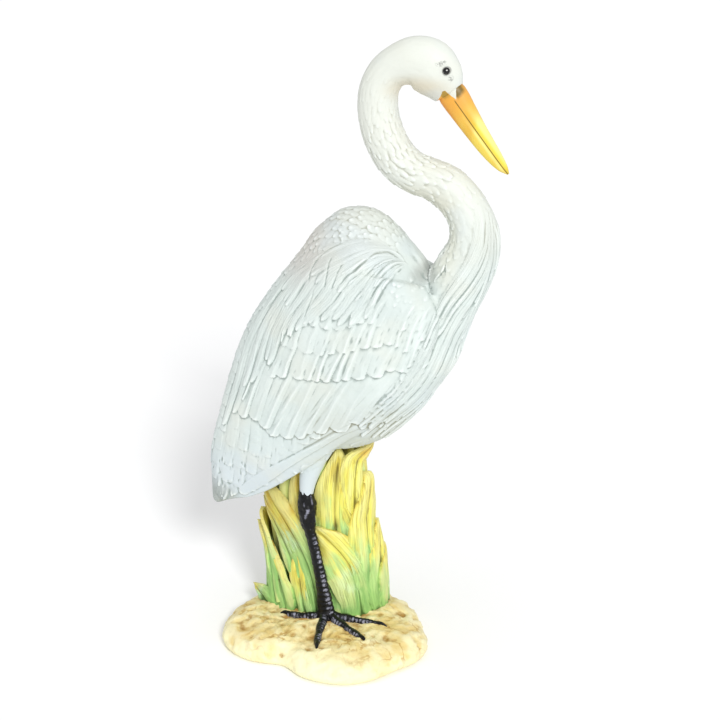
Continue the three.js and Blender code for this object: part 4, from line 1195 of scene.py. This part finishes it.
# ------------------------------------------------------------------ everything is one cast piece
shank_geo, shank_paint_and_highlight = shank_mesh()
toes = [toe_mesh(*t) for t in TOES]
whole = union([
    dress(to_object("base", to_mesh("base", *base_mesh())), "base"), reeds,
    dress(to_object("shank", to_mesh("shank", *shank_geo)), "leg", pa=shank_paint_and_highlight),
    *[dress(to_object("toe", to_mesh("toe", *geo)), "leg", pa=mark) for geo, mark in toes],
    bird,
    dress(to_object("bill", to_mesh("bill", *bill_mesh())), "bisque"),
    *[dress(to_object("eye", to_mesh("eye", *ball((EYE["x"], BIRD_Y + side * (EYE["half"] - 0.7), EYE["z"]), EYE["r"] - 0.35))), "eye") for side in (-1, 1)],
])
doubled = set()
for _ in range(5):
    bm = bmesh.new()
    bm.from_mesh(whole.data)
    crowded = [f for f in bm.faces if len(f.verts) > 4 or (len(f.verts) == 4 and doubled and any(frozenset((f.verts[i].index, f.verts[i + 2].index)) in doubled for i in (0, 1)))]
    bmesh.ops.poke(bm, faces=crowded)
    bmesh.ops.triangulate(bm, faces=[f for f in bm.faces if len(f.verts) > 3], quad_method="BEAUTY")
    bm.verts.index_update()
    found = {frozenset(v.index for v in e.verts) for e in bm.edges if len(e.link_faces) != 2}
    if not found - doubled:
        break
    note(f"doubled edges: {[tuple(round(c, 1) for c in bm.verts[min(e)].co) for e in found] if not bm.verts.ensure_lookup_table() else 0}")
    doubled |= found
    bm.free()
bm.to_mesh(whole.data)
bm.free()
note(f"joined: {len(whole.data.polygons)} triangles, {bad_edges(whole.data)} bad edges")
whole = decimated(whole, 198000)
# only the outer shell stays: closed-in hollows and crumbs between the leaves go
bm = bmesh.new()
bm.from_mesh(whole.data)
shells, seen = [], set()
for first in bm.faces:
    if first.index in seen:
        continue
    seen.add(first.index)
    shell, stack = [], [first]
    while stack:
        face = stack.pop()
        shell.append(face)
        for side in face.edges:
            for other in side.link_faces:
                if other.index not in seen:
                    seen.add(other.index)
                    stack.append(other)
    shells.append(shell)
outer_shell = max(shells, key=len)
bmesh.ops.delete(bm, geom=[face for shell in shells if shell is not outer_shell for face in shell], context="FACES")
note(f"shells: {len(shells)}, the largest has {len(outer_shell)} faces")
bm.to_mesh(whole.data)
bm.free()
final = whole.data
Q = points_of(final)
TR = np.empty(len(final.loops), np.int32)
final.loops.foreach_get("vertex_index", TR)
TR = TR.reshape(-1, 3)
region = np.empty(len(TR), np.int32)
final.attributes["region"].data.foreach_get("value", region)
note(f"whole: {len(TR)} triangles, {len(Q)} points, {bad_edges(final)} bad edges, regions {np.bincount(region)}")

# hollows of the parts without carving, from their own shape; on the reeds and the base they carry painted shade in the
# hollows and painted highlight on the bumps
E2 = edges_of(TR)
NQ = normals_of(Q, TR)
calm = relax(Q, E2, len(Q), 8)
form = relax(((calm - Q) * NQ).sum(1), E2, len(Q), 3)
cav = np.empty(len(final.loops), np.float32)
final.attributes["cav"].data.foreach_get("value", cav)
cav = np.where(np.repeat(region, 3) == 0, cav, form[TR.ravel()])
final.attributes["cav"].data.foreach_set("value", cav.astype(np.float32))
for name in [a.name for a in final.attributes if a.name.startswith("UV")]:
    final.attributes.remove(final.attributes[name])

final.vertices.foreach_set("co", (Q * 0.001).astype(np.float32).ravel())
final.polygons.foreach_set("use_smooth", np.ones(len(TR), bool))
FN = unit(np.cross(Q[TR[:, 1]] - Q[TR[:, 0]], Q[TR[:, 2]] - Q[TR[:, 0]]))
edge_of = np.empty(len(final.loops), np.int32)
final.loops.foreach_get("edge_index", edge_of)
order = np.argsort(edge_of, kind="stable")
pair = order[np.concatenate([[0], np.where(np.diff(edge_of[order]))[0] + 1])]
last = order[np.concatenate([np.where(np.diff(edge_of[order]))[0], [len(order) - 1]])]
crisp = ((FN[pair // 3] * FN[last // 3]).sum(1) < math.cos(math.radians(48))) & ((region[pair // 3] == 3) | (region[last // 3] == 3))
sharp = np.zeros(len(final.edges), bool)
sharp[edge_of[pair]] = crisp
mark = final.attributes.get("sharp_edge") or final.attributes.new("sharp_edge", "BOOLEAN", "EDGE")
mark.data.foreach_set("value", sharp)
final.update()
egret = whole
egret.name, final.name = "egret", "egret"
note("in metres")

# ------------------------------------------------------------------ materials
def lin(h):
    c = [int(h[i:i + 2], 16) / 255 for i in (1, 3, 5)]
    return tuple(x / 12.92 if x <= 0.04045 else ((x + 0.055) / 1.055) ** 2.4 for x in c) + (1.0,)


class Nodes:
    """Small helper to write a material's node tree."""

    def __init__(self, name):
        self.mat = bpy.data.materials.new(name)
        self.mat.use_nodes = True
        self.t = self.mat.node_tree
        self.t.nodes.clear()
        self.out = self.t.nodes.new("ShaderNodeOutputMaterial")
        self.bsdf = self.t.nodes.new("ShaderNodeBsdfPrincipled")
        self.t.links.new(self.bsdf.outputs[0], self.out.inputs[0])
        self.coord = self.t.nodes.new("ShaderNodeTexCoord").outputs["Object"]
        self.axes = None

    def link(self, a, b):
        if hasattr(a, "is_output"):
            self.t.links.new(a, b)
        else:
            b.default_value = a

    def math(self, op, a, b=0.0, c=0.0, clamp=False):
        n = self.t.nodes.new("ShaderNodeMath")
        n.operation, n.use_clamp = op, clamp
        for i, x in enumerate((a, b, c)):
            self.link(x, n.inputs[i])
        return n.outputs[0]

    def add(self, *xs):
        out = xs[0]
        for x in xs[1:]:
            out = self.math("ADD", out, x)
        return out

    def mul(self, *xs):
        out = xs[0]
        for x in xs[1:]:
            out = self.math("MULTIPLY", out, x)
        return out

    def attr(self, name):
        n = self.t.nodes.new("ShaderNodeAttribute")
        n.attribute_name = name
        return n.outputs["Fac"]

    def noise(self, scale, detail=3.0, rough=0.55, vector=None, distortion=0.0):
        n = self.t.nodes.new("ShaderNodeTexNoise")
        n.inputs["Scale"].default_value, n.inputs["Detail"].default_value = scale, detail
        n.inputs["Roughness"].default_value, n.inputs["Distortion"].default_value = rough, distortion
        self.link(vector or self.coord, n.inputs["Vector"])
        return n.outputs["Fac"]

    def stretched(self, scale, turn=(0, 0, 0)):
        n = self.t.nodes.new("ShaderNodeMapping")
        n.inputs["Scale"].default_value = scale
        n.inputs["Rotation"].default_value = turn
        self.link(self.coord, n.inputs["Vector"])
        return n.outputs[0]

    def mm(self, direction, origin=(0, 0, 0)):
        """Distance along a direction, in millimetres."""
        s = self.t.nodes.new("ShaderNodeVectorMath")
        s.operation = "SUBTRACT"
        self.link(self.coord, s.inputs[0])
        s.inputs[1].default_value = tuple(0.001 * x for x in origin)
        n = self.t.nodes.new("ShaderNodeVectorMath")
        n.operation = "DOT_PRODUCT"
        self.link(s.outputs[0], n.inputs[0])
        n.inputs[1].default_value = tuple(1000.0 * x for x in direction)
        return n.outputs["Value"]

    def ball(self, centre, size, soft=0.5):
        """1 inside an ellipsoid, fading to 0 outside it. Millimetres."""
        s = self.t.nodes.new("ShaderNodeVectorMath")
        s.operation = "SUBTRACT"
        self.link(self.coord, s.inputs[0])
        s.inputs[1].default_value = tuple(0.001 * x for x in centre)
        q = self.t.nodes.new("ShaderNodeVectorMath")
        q.operation = "MULTIPLY"
        self.link(s.outputs[0], q.inputs[0])
        q.inputs[1].default_value = tuple(1000.0 / x for x in size)
        n = self.t.nodes.new("ShaderNodeVectorMath")
        n.operation = "LENGTH"
        self.link(q.outputs[0], n.inputs[0])
        return self.ramp(n.outputs["Value"], 1 + soft, max(0.0, 1 - soft))

    def ramp(self, x, a, b, smoothed=True):
        """0 at a, 1 at b."""
        n = self.t.nodes.new("ShaderNodeMapRange")
        n.interpolation_type = "SMOOTHSTEP" if smoothed else "LINEAR"
        n.clamp = True
        self.link(x, n.inputs["Value"])
        if a <= b:
            n.inputs["From Min"].default_value, n.inputs["From Max"].default_value = a, b
        else:
            n.inputs["From Min"].default_value, n.inputs["From Max"].default_value = b, a
            n.inputs["To Min"].default_value, n.inputs["To Max"].default_value = 1, 0
        return n.outputs[0]

    def curve(self, x, stops):
        """Piecewise straight value through (x, value) stops."""
        lo, hi = stops[0][0], stops[-1][0]
        vlo, vhi = min(v for _, v in stops), max(v for _, v in stops)
        n = self.t.nodes.new("ShaderNodeValToRGB")
        el = n.color_ramp.elements
        for i, (px, v) in enumerate(stops):
            c = (v - vlo) / max(vhi - vlo, 1e-9)
            e = el[i] if i < 2 else el.new(1.0)
            e.position, e.color = (px - lo) / (hi - lo), (c, c, c, 1)
        self.link(self.ramp(x, lo, hi, False), n.inputs[0])
        return self.math("MULTIPLY_ADD", n.outputs[0], vhi - vlo, vlo)

    def blend(self, fac, a, b, kind="MIX"):
        n = self.t.nodes.new("ShaderNodeMix")
        n.data_type, n.blend_type = "RGBA", kind
        self.link(fac, n.inputs[0])
        self.link(a, n.inputs[6])
        self.link(b, n.inputs[7])
        return n.outputs[2]

    def bump(self, height_mm, strength=1.0):
        n = self.t.nodes.new("ShaderNodeBump")
        n.inputs["Strength"].default_value, n.inputs["Distance"].default_value = strength, 0.001
        self.link(height_mm, n.inputs["Height"])
        self.link(n.outputs[0], self.bsdf.inputs["Normal"])

    def colour(self, c):
        self.link(c, self.bsdf.inputs["Base Color"])

    def rough(self, r):
        self.link(r, self.bsdf.inputs["Roughness"])


# white bisque with the painted bill, brow marks and the top of the boot
w = Nodes("white_bisque")
x, y, z = w.mm((1, 0, 0)), w.mm((0, 1, 0)), w.mm((0, 0, 1))
grain = w.noise(38, 3)
c = w.blend(w.ramp(grain, 0.35, 0.65), lin("#d9e2de"), lin("#d0dad6"))
c = w.blend(w.ramp(z, 235, 335), c, lin("#dde0d7"))
# painted shade: the lower body, the wing tips and the tail darker and cooler, as on the side away from the light
c = w.blend(w.mul(w.ramp(w.add(z, w.mul(x, -0.25)), 185, 120), 0.7), c, lin("#ccd8da"))
c = w.blend(w.mul(w.ball((-40, 0, 108), (45, 40, 22), 0.6), 0.35), c, lin("#cbd2dc"))
# painted shade on the belly under the wing, olive grey
c = w.blend(w.mul(w.ball((28, 0, 160), (34, 30, 24), 0.5), 0.6), c, lin("#c6cac0"))
c = w.blend(w.mul(w.ball((80, 12, 284), (9, 30, 26), 0.5), 0.6), c, lin("#dcdcca"))
# painted shade under the chin and throat, warm grey
c = w.blend(w.mul(w.ball((61, 12, 374), (18, 30, 9), 0.5), 0.85), c, lin("#d2cab4"))
# painted shade under the lower bend of the neck
c = w.blend(w.mul(w.ball((58, 12, 306), (28, 30, 11), 0.5), 0.6), c, lin("#d3d1be"))
c = w.blend(w.mul(w.ball((8, 12, 280), (36, 40, 22), 0.5), 0.7), c, lin("#c9ccc6"))
c = w.blend(w.mul(w.ball((-12, 12, 272), (20, 40, 20), 0.6), 0.45), c, lin("#cfc5be"))
c = w.blend(w.mul(w.ball((56, -12, 250), (20, 30, 20), 0.5), 0.55), c, lin("#c6d0cd"))
# painted shade at the bottom of the tail
c = w.blend(w.mul(w.ball((-72, 12, 94), (15, 34, 13), 0.6), 0.8), c, lin("#9ba19c"))
# painted shadow in the notch between the neck and the back
c = w.blend(w.mul(w.ball((67, 12, 262), (9, 26, 6), 0.5), 0.6), c, lin("#a6a8a2"))
# painted light: a paler patch on the inner side of the neck above the notch, offsetting the shade of the fold
c = w.blend(w.mul(w.ball((70, 0, 283), (11, 22, 17), 0.4), 0.75), c, lin("#eaece4"))
blotch = w.noise(26, 2)
c = w.blend(w.mul(w.ramp(blotch, 0.52, 0.7), 0.3), c, lin("#dad9ca"))
c = w.blend(w.mul(w.ramp(blotch, 0.46, 0.3), 0.3), c, lin("#cad7df"))
hair = w.add(
    w.mul(w.attr("pb"), w.math("SINE", w.mul(w.add(w.attr("pa"), w.mul(w.noise(90, 2), 0.9)), 2 * math.pi * 2.4))),
    w.mul(w.attr("pd"), w.math("SINE", w.mul(w.add(w.attr("pc"), w.mul(w.noise(90, 2), 0.8)), 2 * math.pi * 2.4))))
# colour of the painted shade in the lines between the feathers: olive on the belly, greyer up the neck
crease_shade_colour = w.blend(w.ball((28, 0, 160), (40, 40, 26), 0.4), lin("#97a39e"), lin("#8f907c"))
crease_shade_colour = w.blend(w.ramp(z, 255, 300), crease_shade_colour, lin("#a9aa9a"))
# painted highlight on the crests of the carving
ridge_highlight = w.ramp(w.attr("cav"), -0.03, -0.3)
c = w.blend(w.mul(ridge_highlight, 0.55), c, lin("#eff5f2"))
# painted shade in the lines between the feathers
lines = w.ramp(w.attr("cav"), 0.02, 0.34)
c = w.blend(w.mul(lines, 0.85), c, crease_shade_colour)
# painted shade in the troughs of the fine hair pattern
c = w.blend(w.mul(w.ramp(hair, 0.1, -0.9), 0.14), c, crease_shade_colour)
# bill paint, in its own frame: s along the bill, h across it
D3, H3 = (BILL["dx"], 0, BILL["dz"]), (-BILL["dz"], 0, BILL["dx"])
origin = (BILL["x"], 0, BILL["z"])
s_, h_ = w.mm(D3, origin), w.mm(H3, origin)
wob = w.mul(w.math("SUBTRACT", w.noise(500, 2), 0.5), 1.2)
edge = w.curve(h_, [(-11, 0.5), (-10.3, 0.5), (-9.9, -3.2), (-8.2, -3.4), (-5, -4.6), (-2.8, -6.0), (-1.0, -5.7), (-0.6, -1.9), (1.0, 2.7), (2.3, 0.6), (4.6, -3.0), (6.7, -3.0), (8.9, -3.0), (9.3, 0.6), (11, 1.0)])
past = w.add(w.math("SUBTRACT", s_, edge), w.mul(wob, 0.6))
is_bill = w.mul(w.ramp(past, -0.15, 0.25), w.ramp(s_, -9, -8.5), w.ramp(h_, -14, -13), w.ramp(h_, 15, 14))
streak = w.noise(40, 3, 0.6, w.stretched((1, 1, 0.35), (0, math.radians(-53.5), 0)))
upper = w.blend(w.ramp(s_, 4, 26), lin("#e7aa50"), lin("#ecd650"))
# painted highlight along the top of the upper mandible
upper = w.blend(w.mul(w.ramp(h_, 1.2, 3.5), w.ramp(s_, 8, 24), 0.85), upper, lin("#f4e993"))
lower = w.blend(w.ramp(s_, 2, 32), lin("#e7a744"), lin("#ecd25a"))
lower = w.blend(w.mul(w.ramp(h_, -5.5, -8.5), w.ramp(s_, 30, 6), 0.6), lower, lin("#e08f30"))
# painted highlight along the lower mandible just under the gape line
lower = w.blend(w.mul(w.ramp(h_, -3.4, -1.6), w.ramp(h_, -0.6, -1.2), w.ramp(s_, 10, 26), 0.75), lower, lin("#f5ea92"))
yel = w.blend(w.ramp(h_, -0.5, -0.1), lower, upper)
yel = w.blend(w.mul(w.ramp(streak, 0.48, 0.66), 0.6), yel, lin("#dd9f34"))
yel = w.blend(w.mul(w.ramp(s_, 51, 57), 0.5), yel, lin("#c9a93a"))
olive = lin("#57522a")
commissure = w.mul(w.ramp(w.math("ABSOLUTE", w.add(h_, 0.3)), 0.42, 0.18), w.ramp(s_, 1.5, 4))
lore = w.mul(w.ramp(h_, 1.4, 2.6), w.ramp(h_, 8.6, 6.6), w.ramp(w.add(s_, w.mul(w.add(h_, -2.6), 0.3), w.mul(wob, 1.6)), 4.6, 1.2))
corner = w.mul(w.ramp(w.math("ABSOLUTE", w.add(h_, 3.0)), 3.2, 1.4), w.ramp(w.add(s_, wob), 0.2, -3.4))
yel = w.blend(w.mul(lore, 0.85), yel, olive)
yel = w.blend(w.mul(corner, 0.75), yel, lin("#8a7a34"))
yel = w.blend(w.mul(commissure, 0.92), yel, lin("#6e5a22"))
c = w.blend(is_bill, c, yel)
# brow marks before and behind the eye
for bx, bz, sx, sz in ((74.4, 391.2, 2.0, 1.2), (76.4, 392.4, 1.4, 0.9), (80.9, 382.6, 1.2, 1.9)):
    mark = w.ball((bx, 12, bz), (sx, 40, sz), 0.7)
    c = w.blend(w.mul(mark, w.ramp(w.noise(900, 2), 0.38, 0.62), 0.7), c, lin("#6b6b67"))
ring = w.mul(w.ball((EYE["x"], 12, EYE["z"]), (2.65, 40, 2.65), 0.12), w.ramp(z, 370, 371))
c = w.blend(w.mul(ring, 0.6), c, lin("#7c7a75"))
boot = w.mul(w.ramp(w.add(z, w.mul(w.math("SUBTRACT", w.noise(420, 2), 0.5), -5.0)), 105.9, 105.5), w.ramp(w.math("ABSOLUTE", w.add(x, 11)), 9, 8), w.ramp(y, 11, 10))
c = w.blend(boot, c, lin("#0e0f11"))
w.colour(c)
w.rough(w.math("ADD", w.mul(is_bill, -0.12), 0.5))
w.bsdf.inputs["Specular IOR Level"].default_value = 0.3
calm_part = w.mul(w.math("SUBTRACT", 1.0, is_bill), w.ramp(z, 385, 340))
w.bump(w.add(w.mul(hair, 0.055), w.mul(w.noise(420, 3, 0.6), w.math("MULTIPLY_ADD", calm_part, 0.2, 0.06))), 0.9)

e = Nodes("eye_black")
# painted highlight: a small pale spot up and to the right of each pupil
glint = e.math("MAXIMUM", e.ball((EYE["x"] + 0.7, 1.2, EYE["z"] + 0.75), (0.55, 3, 0.4), 0.3), e.ball((EYE["x"] + 0.7, 22.8, EYE["z"] + 0.75), (0.55, 3, 0.4), 0.3))
e.colour(e.blend(glint, lin("#0b0a0a"), lin("#c9c9c4")))
e.rough(0.1)
e.bsdf.inputs["Specular IOR Level"].default_value = 0.25
e.bsdf.inputs["Coat Weight"].default_value = 0.35

k = Nodes("leg_black")
c = k.blend(k.ramp(k.noise(260, 3), 0.45, 0.75), lin("#070809"), lin("#121316"))
# pale paint and painted highlight on the scutes and knob, on the side facing the light
c = k.blend(k.mul(k.ramp(k.attr("pa"), 0.15, 0.7), k.ramp(k.noise(700, 2), 0.34, 0.55), 0.8), c, lin("#a9aabc"))
k.colour(c)
k.rough(0.36)
k.bsdf.inputs["Specular IOR Level"].default_value = 0.25
k.bump(k.mul(k.noise(500, 3), 0.25), 0.8)

r = Nodes("reed_paint")
u, mm, hw, green, ochre = (r.attr(n) for n in ("pa", "pb", "pc", "pd", "pe"))
along = r.t.nodes.new("ShaderNodeCombineXYZ")
r.link(r.mul(mm, 0.42), along.inputs[0])
r.link(r.mul(u, 2.6), along.inputs[1])
r.link(r.mul(r.mm((0.02, 0.017, 0.006)), 1.0), along.inputs[2])
patch, fleck, stroke = r.noise(26, 3), r.noise(95, 4, 0.6), r.noise(1.0, 3, 0.6, along.outputs[0])
t = r.add(u, r.mul(green, -1.0), r.mul(r.math("SUBTRACT", patch, 0.5), 1.1), r.mul(r.math("SUBTRACT", stroke, 0.5), 0.7))
c = r.blend(r.ramp(t, -0.5, -0.15), lin("#9ac973"), lin("#b9de8a"))
c = r.blend(r.ramp(t, -0.16, 0.16), c, lin("#eae364"))
c = r.blend(r.mul(r.ramp(t, 0.0, 0.3), r.ramp(stroke, 0.42, 0.6), 0.65), c, lin("#f2f094"))
c = r.blend(r.mul(r.ramp(t, -0.3, -0.1), r.ramp(t, 0.12, -0.02), r.ramp(patch, 0.47, 0.6), 0.9), c, lin("#c3efc2"))
tips = r.mul(r.ramp(r.add(u, r.mul(r.math("SUBTRACT", fleck, 0.5), 0.7)), 0.62, 0.96), ochre)
c = r.blend(r.mul(tips, 0.85), c, lin("#d3a03a"))
at_edge = r.ramp(r.math("DIVIDE", r.math("ABSOLUTE", mm), hw), 0.82, 1.0)
c = r.blend(r.mul(at_edge, r.ramp(t, -0.3, 0.2), 0.5), c, lin("#cfae42"))
c = r.blend(r.mul(r.ramp(stroke, 0.48, 0.36), r.ramp(t, -0.1, 0.3), r.ramp(patch, 0.6, 0.4), 0.7), c, lin("#dcbc4c"))
c = r.blend(r.mul(r.ramp(stroke, 0.46, 0.36), r.ramp(t, 0.0, -0.3), 0.45), c, lin("#84b768"))
thin = r.t.nodes.new("ShaderNodeCombineXYZ")
r.link(r.mul(mm, 1.25), thin.inputs[0])
r.link(r.mul(u, 2.2), thin.inputs[1])
r.link(r.mm((0.02, 0.017, 0.006)), thin.inputs[2])
threads = r.noise(1.0, 2, 0.5, thin.outputs[0])
vein = r.mul(r.ramp(r.math("ABSOLUTE", r.math("SUBTRACT", threads, 0.5)), 0.035, 0.008), r.ramp(u, 0.02, 0.12))
mid = r.mul(r.ramp(r.math("ABSOLUTE", r.add(mm, r.mul(r.math("SUBTRACT", patch, 0.5), 1.6))), 0.5, 0.15), r.ramp(u, 1.0, 0.7))
deep = r.blend(r.ramp(t, -0.3, 0.2), lin("#5c8a44"), lin("#9a8432"))
c = r.blend(r.mul(vein, r.ramp(patch, 0.35, 0.6), 0.7), c, deep)
c = r.blend(r.mul(mid, r.ramp(stroke, 0.4, 0.6), 0.65), c, deep)
c = r.blend(r.mul(r.ramp(r.mm((1, 0, 0)), -6, -30), r.ramp(r.mm((0, 0, 1)), 45, 85), 0.5), c, lin("#b9a03e"))
# painted shade in the hollows between the leaves
hollow = r.ramp(r.attr("cav"), 0.03, 0.34)
c = r.blend(r.mul(hollow, 0.92), c, r.blend(r.ramp(t, -0.3, 0.2), lin("#47662c"), lin("#6d5f22")))
# painted highlight on the raised parts of the leaves
c = r.blend(r.mul(r.ramp(r.attr("cav"), -0.1, -0.45), 0.5), c, lin("#f6f4a6"))
r.colour(c)
r.rough(0.5)
r.bsdf.inputs["Specular IOR Level"].default_value = 0.3
r.bump(r.add(r.mul(vein, -0.2), r.mul(mid, -0.3), r.mul(stroke, 0.5), r.mul(r.noise(300, 3), 0.25)), 0.9)

s = Nodes("sand_paint")
big, small = s.noise(42, 4, 0.6), s.noise(150, 4, 0.65)
dab = s.noise(62, 3, 0.55, s.stretched((1, 1, 0.45), (0.5, 0.3, 0)))
c = s.blend(s.ramp(big, 0.38, 0.62), lin("#f3e3aa"), lin("#e8d18c"))
c = s.blend(s.mul(s.ramp(dab, 0.5, 0.62), 0.55), c, lin("#f9f3c6"))
c = s.blend(s.mul(s.ramp(dab, 0.44, 0.32), 0.6), c, lin("#dab868"))
c = s.blend(s.mul(s.ramp(small, 0.56, 0.7), 0.3), c, lin("#d6b568"))
scrawl = s.noise(70, 3, 0.5, s.stretched((1, 1, 0.6), (0.3, 0.6, 0)))
c = s.blend(s.mul(s.ramp(s.math("ABSOLUTE", s.math("SUBTRACT", scrawl, 0.5)), 0.03, 0.008), s.ramp(big, 0.4, 0.6), 0.75), c, lin("#bf974c"))
# painted highlight: paler cream over the front of the base
c = s.blend(s.mul(s.ball((12, -52, 4), (30, 26, 13), 0.5), 0.85), c, lin("#fdf7cc"))
# painted shade in the hollows of the sand, broken up by noise
c = s.blend(s.mul(s.ramp(s.attr("cav"), 0.02, 0.32), s.math("MULTIPLY_ADD", s.ramp(small, 0.4, 0.6), 0.5, 0.45)), c, lin("#ad8440"))
# painted highlight on the raised lumps of the sand
c = s.blend(s.mul(s.ramp(s.attr("cav"), -0.05, -0.45), 0.6), c, lin("#fdf8cf"))
s.colour(c)
s.rough(0.6)
s.bsdf.inputs["Specular IOR Level"].default_value = 0.25
s.bump(s.add(s.mul(small, 0.9), s.mul(s.noise(420, 3, 0.6), 0.4)), 0.9)

final.materials.clear()
for mtl in (w, e, k, r, s):
    final.materials.append(mtl.mat)
final.polygons.foreach_set("material_index", region)
final.update()

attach(egret, "root")
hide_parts("egret_sculpture")

# ------------------------------------------------------------------ floor, light, camera
world = bpy.data.worlds.new("studio")
bpy.context.scene.world = world
world.use_nodes = True
bg = world.node_tree.nodes["Background"]
bg.inputs[0].default_value, bg.inputs[1].default_value = (0.985, 0.99, 1.0, 1.0), 0.62

floor_mesh = to_mesh("floor", np.array([[-8, -8, 0], [8, -8, 0], [8, 8, 0], [-8, 8, 0]], float), [np.array([[0, 1, 2, 3]])])
floor = to_object("floor", floor_mesh)
f = Nodes("floor")
f.colour(lin("#ffffff"))
f.rough(0.9)
f.bsdf.inputs["Specular IOR Level"].default_value = 0.0
floor_mesh.materials.append(f.mat)


def sun(name, azimuth, elevation, strength, angle):
    """Far, soft lamp. Azimuth from the front (-Y) towards +X, in degrees."""
    d = bpy.data.lights.new(name, "SUN")
    d.energy, d.angle = strength, math.radians(angle)
    o = bpy.data.objects.new(name, d)
    bpy.context.scene.collection.objects.link(o)
    a, b = math.radians(azimuth), math.radians(elevation)
    v = Vector((math.sin(a) * math.cos(b), -math.cos(a) * math.cos(b), math.sin(b)))
    o.rotation_mode = "QUATERNION"
    o.rotation_quaternion = (-v).to_track_quat("-Z", "Y")


sun("key", 30, 31, 1.88, 12)
sun("top", -10, 78, 0.36, 45)

cam_data = bpy.data.cameras.new("camera")
cam_data.sensor_width = 36
cam_data.lens = LENS_PX / 720 * 36
cam_data.clip_start, cam_data.clip_end = 0.01, 50
cam = bpy.data.objects.new("camera", cam_data)
bpy.context.scene.collection.objects.link(cam)
cam.location = Vector(EYEPOINT * 0.001)
cam.rotation_mode = "QUATERNION"
cam.rotation_quaternion = Vector(-BACK).to_track_quat("-Z", "Y")
bpy.context.scene.camera = cam
bpy.context.scene.view_settings.view_transform = "Standard"
bpy.context.scene.view_settings.look = "None"

note("done")
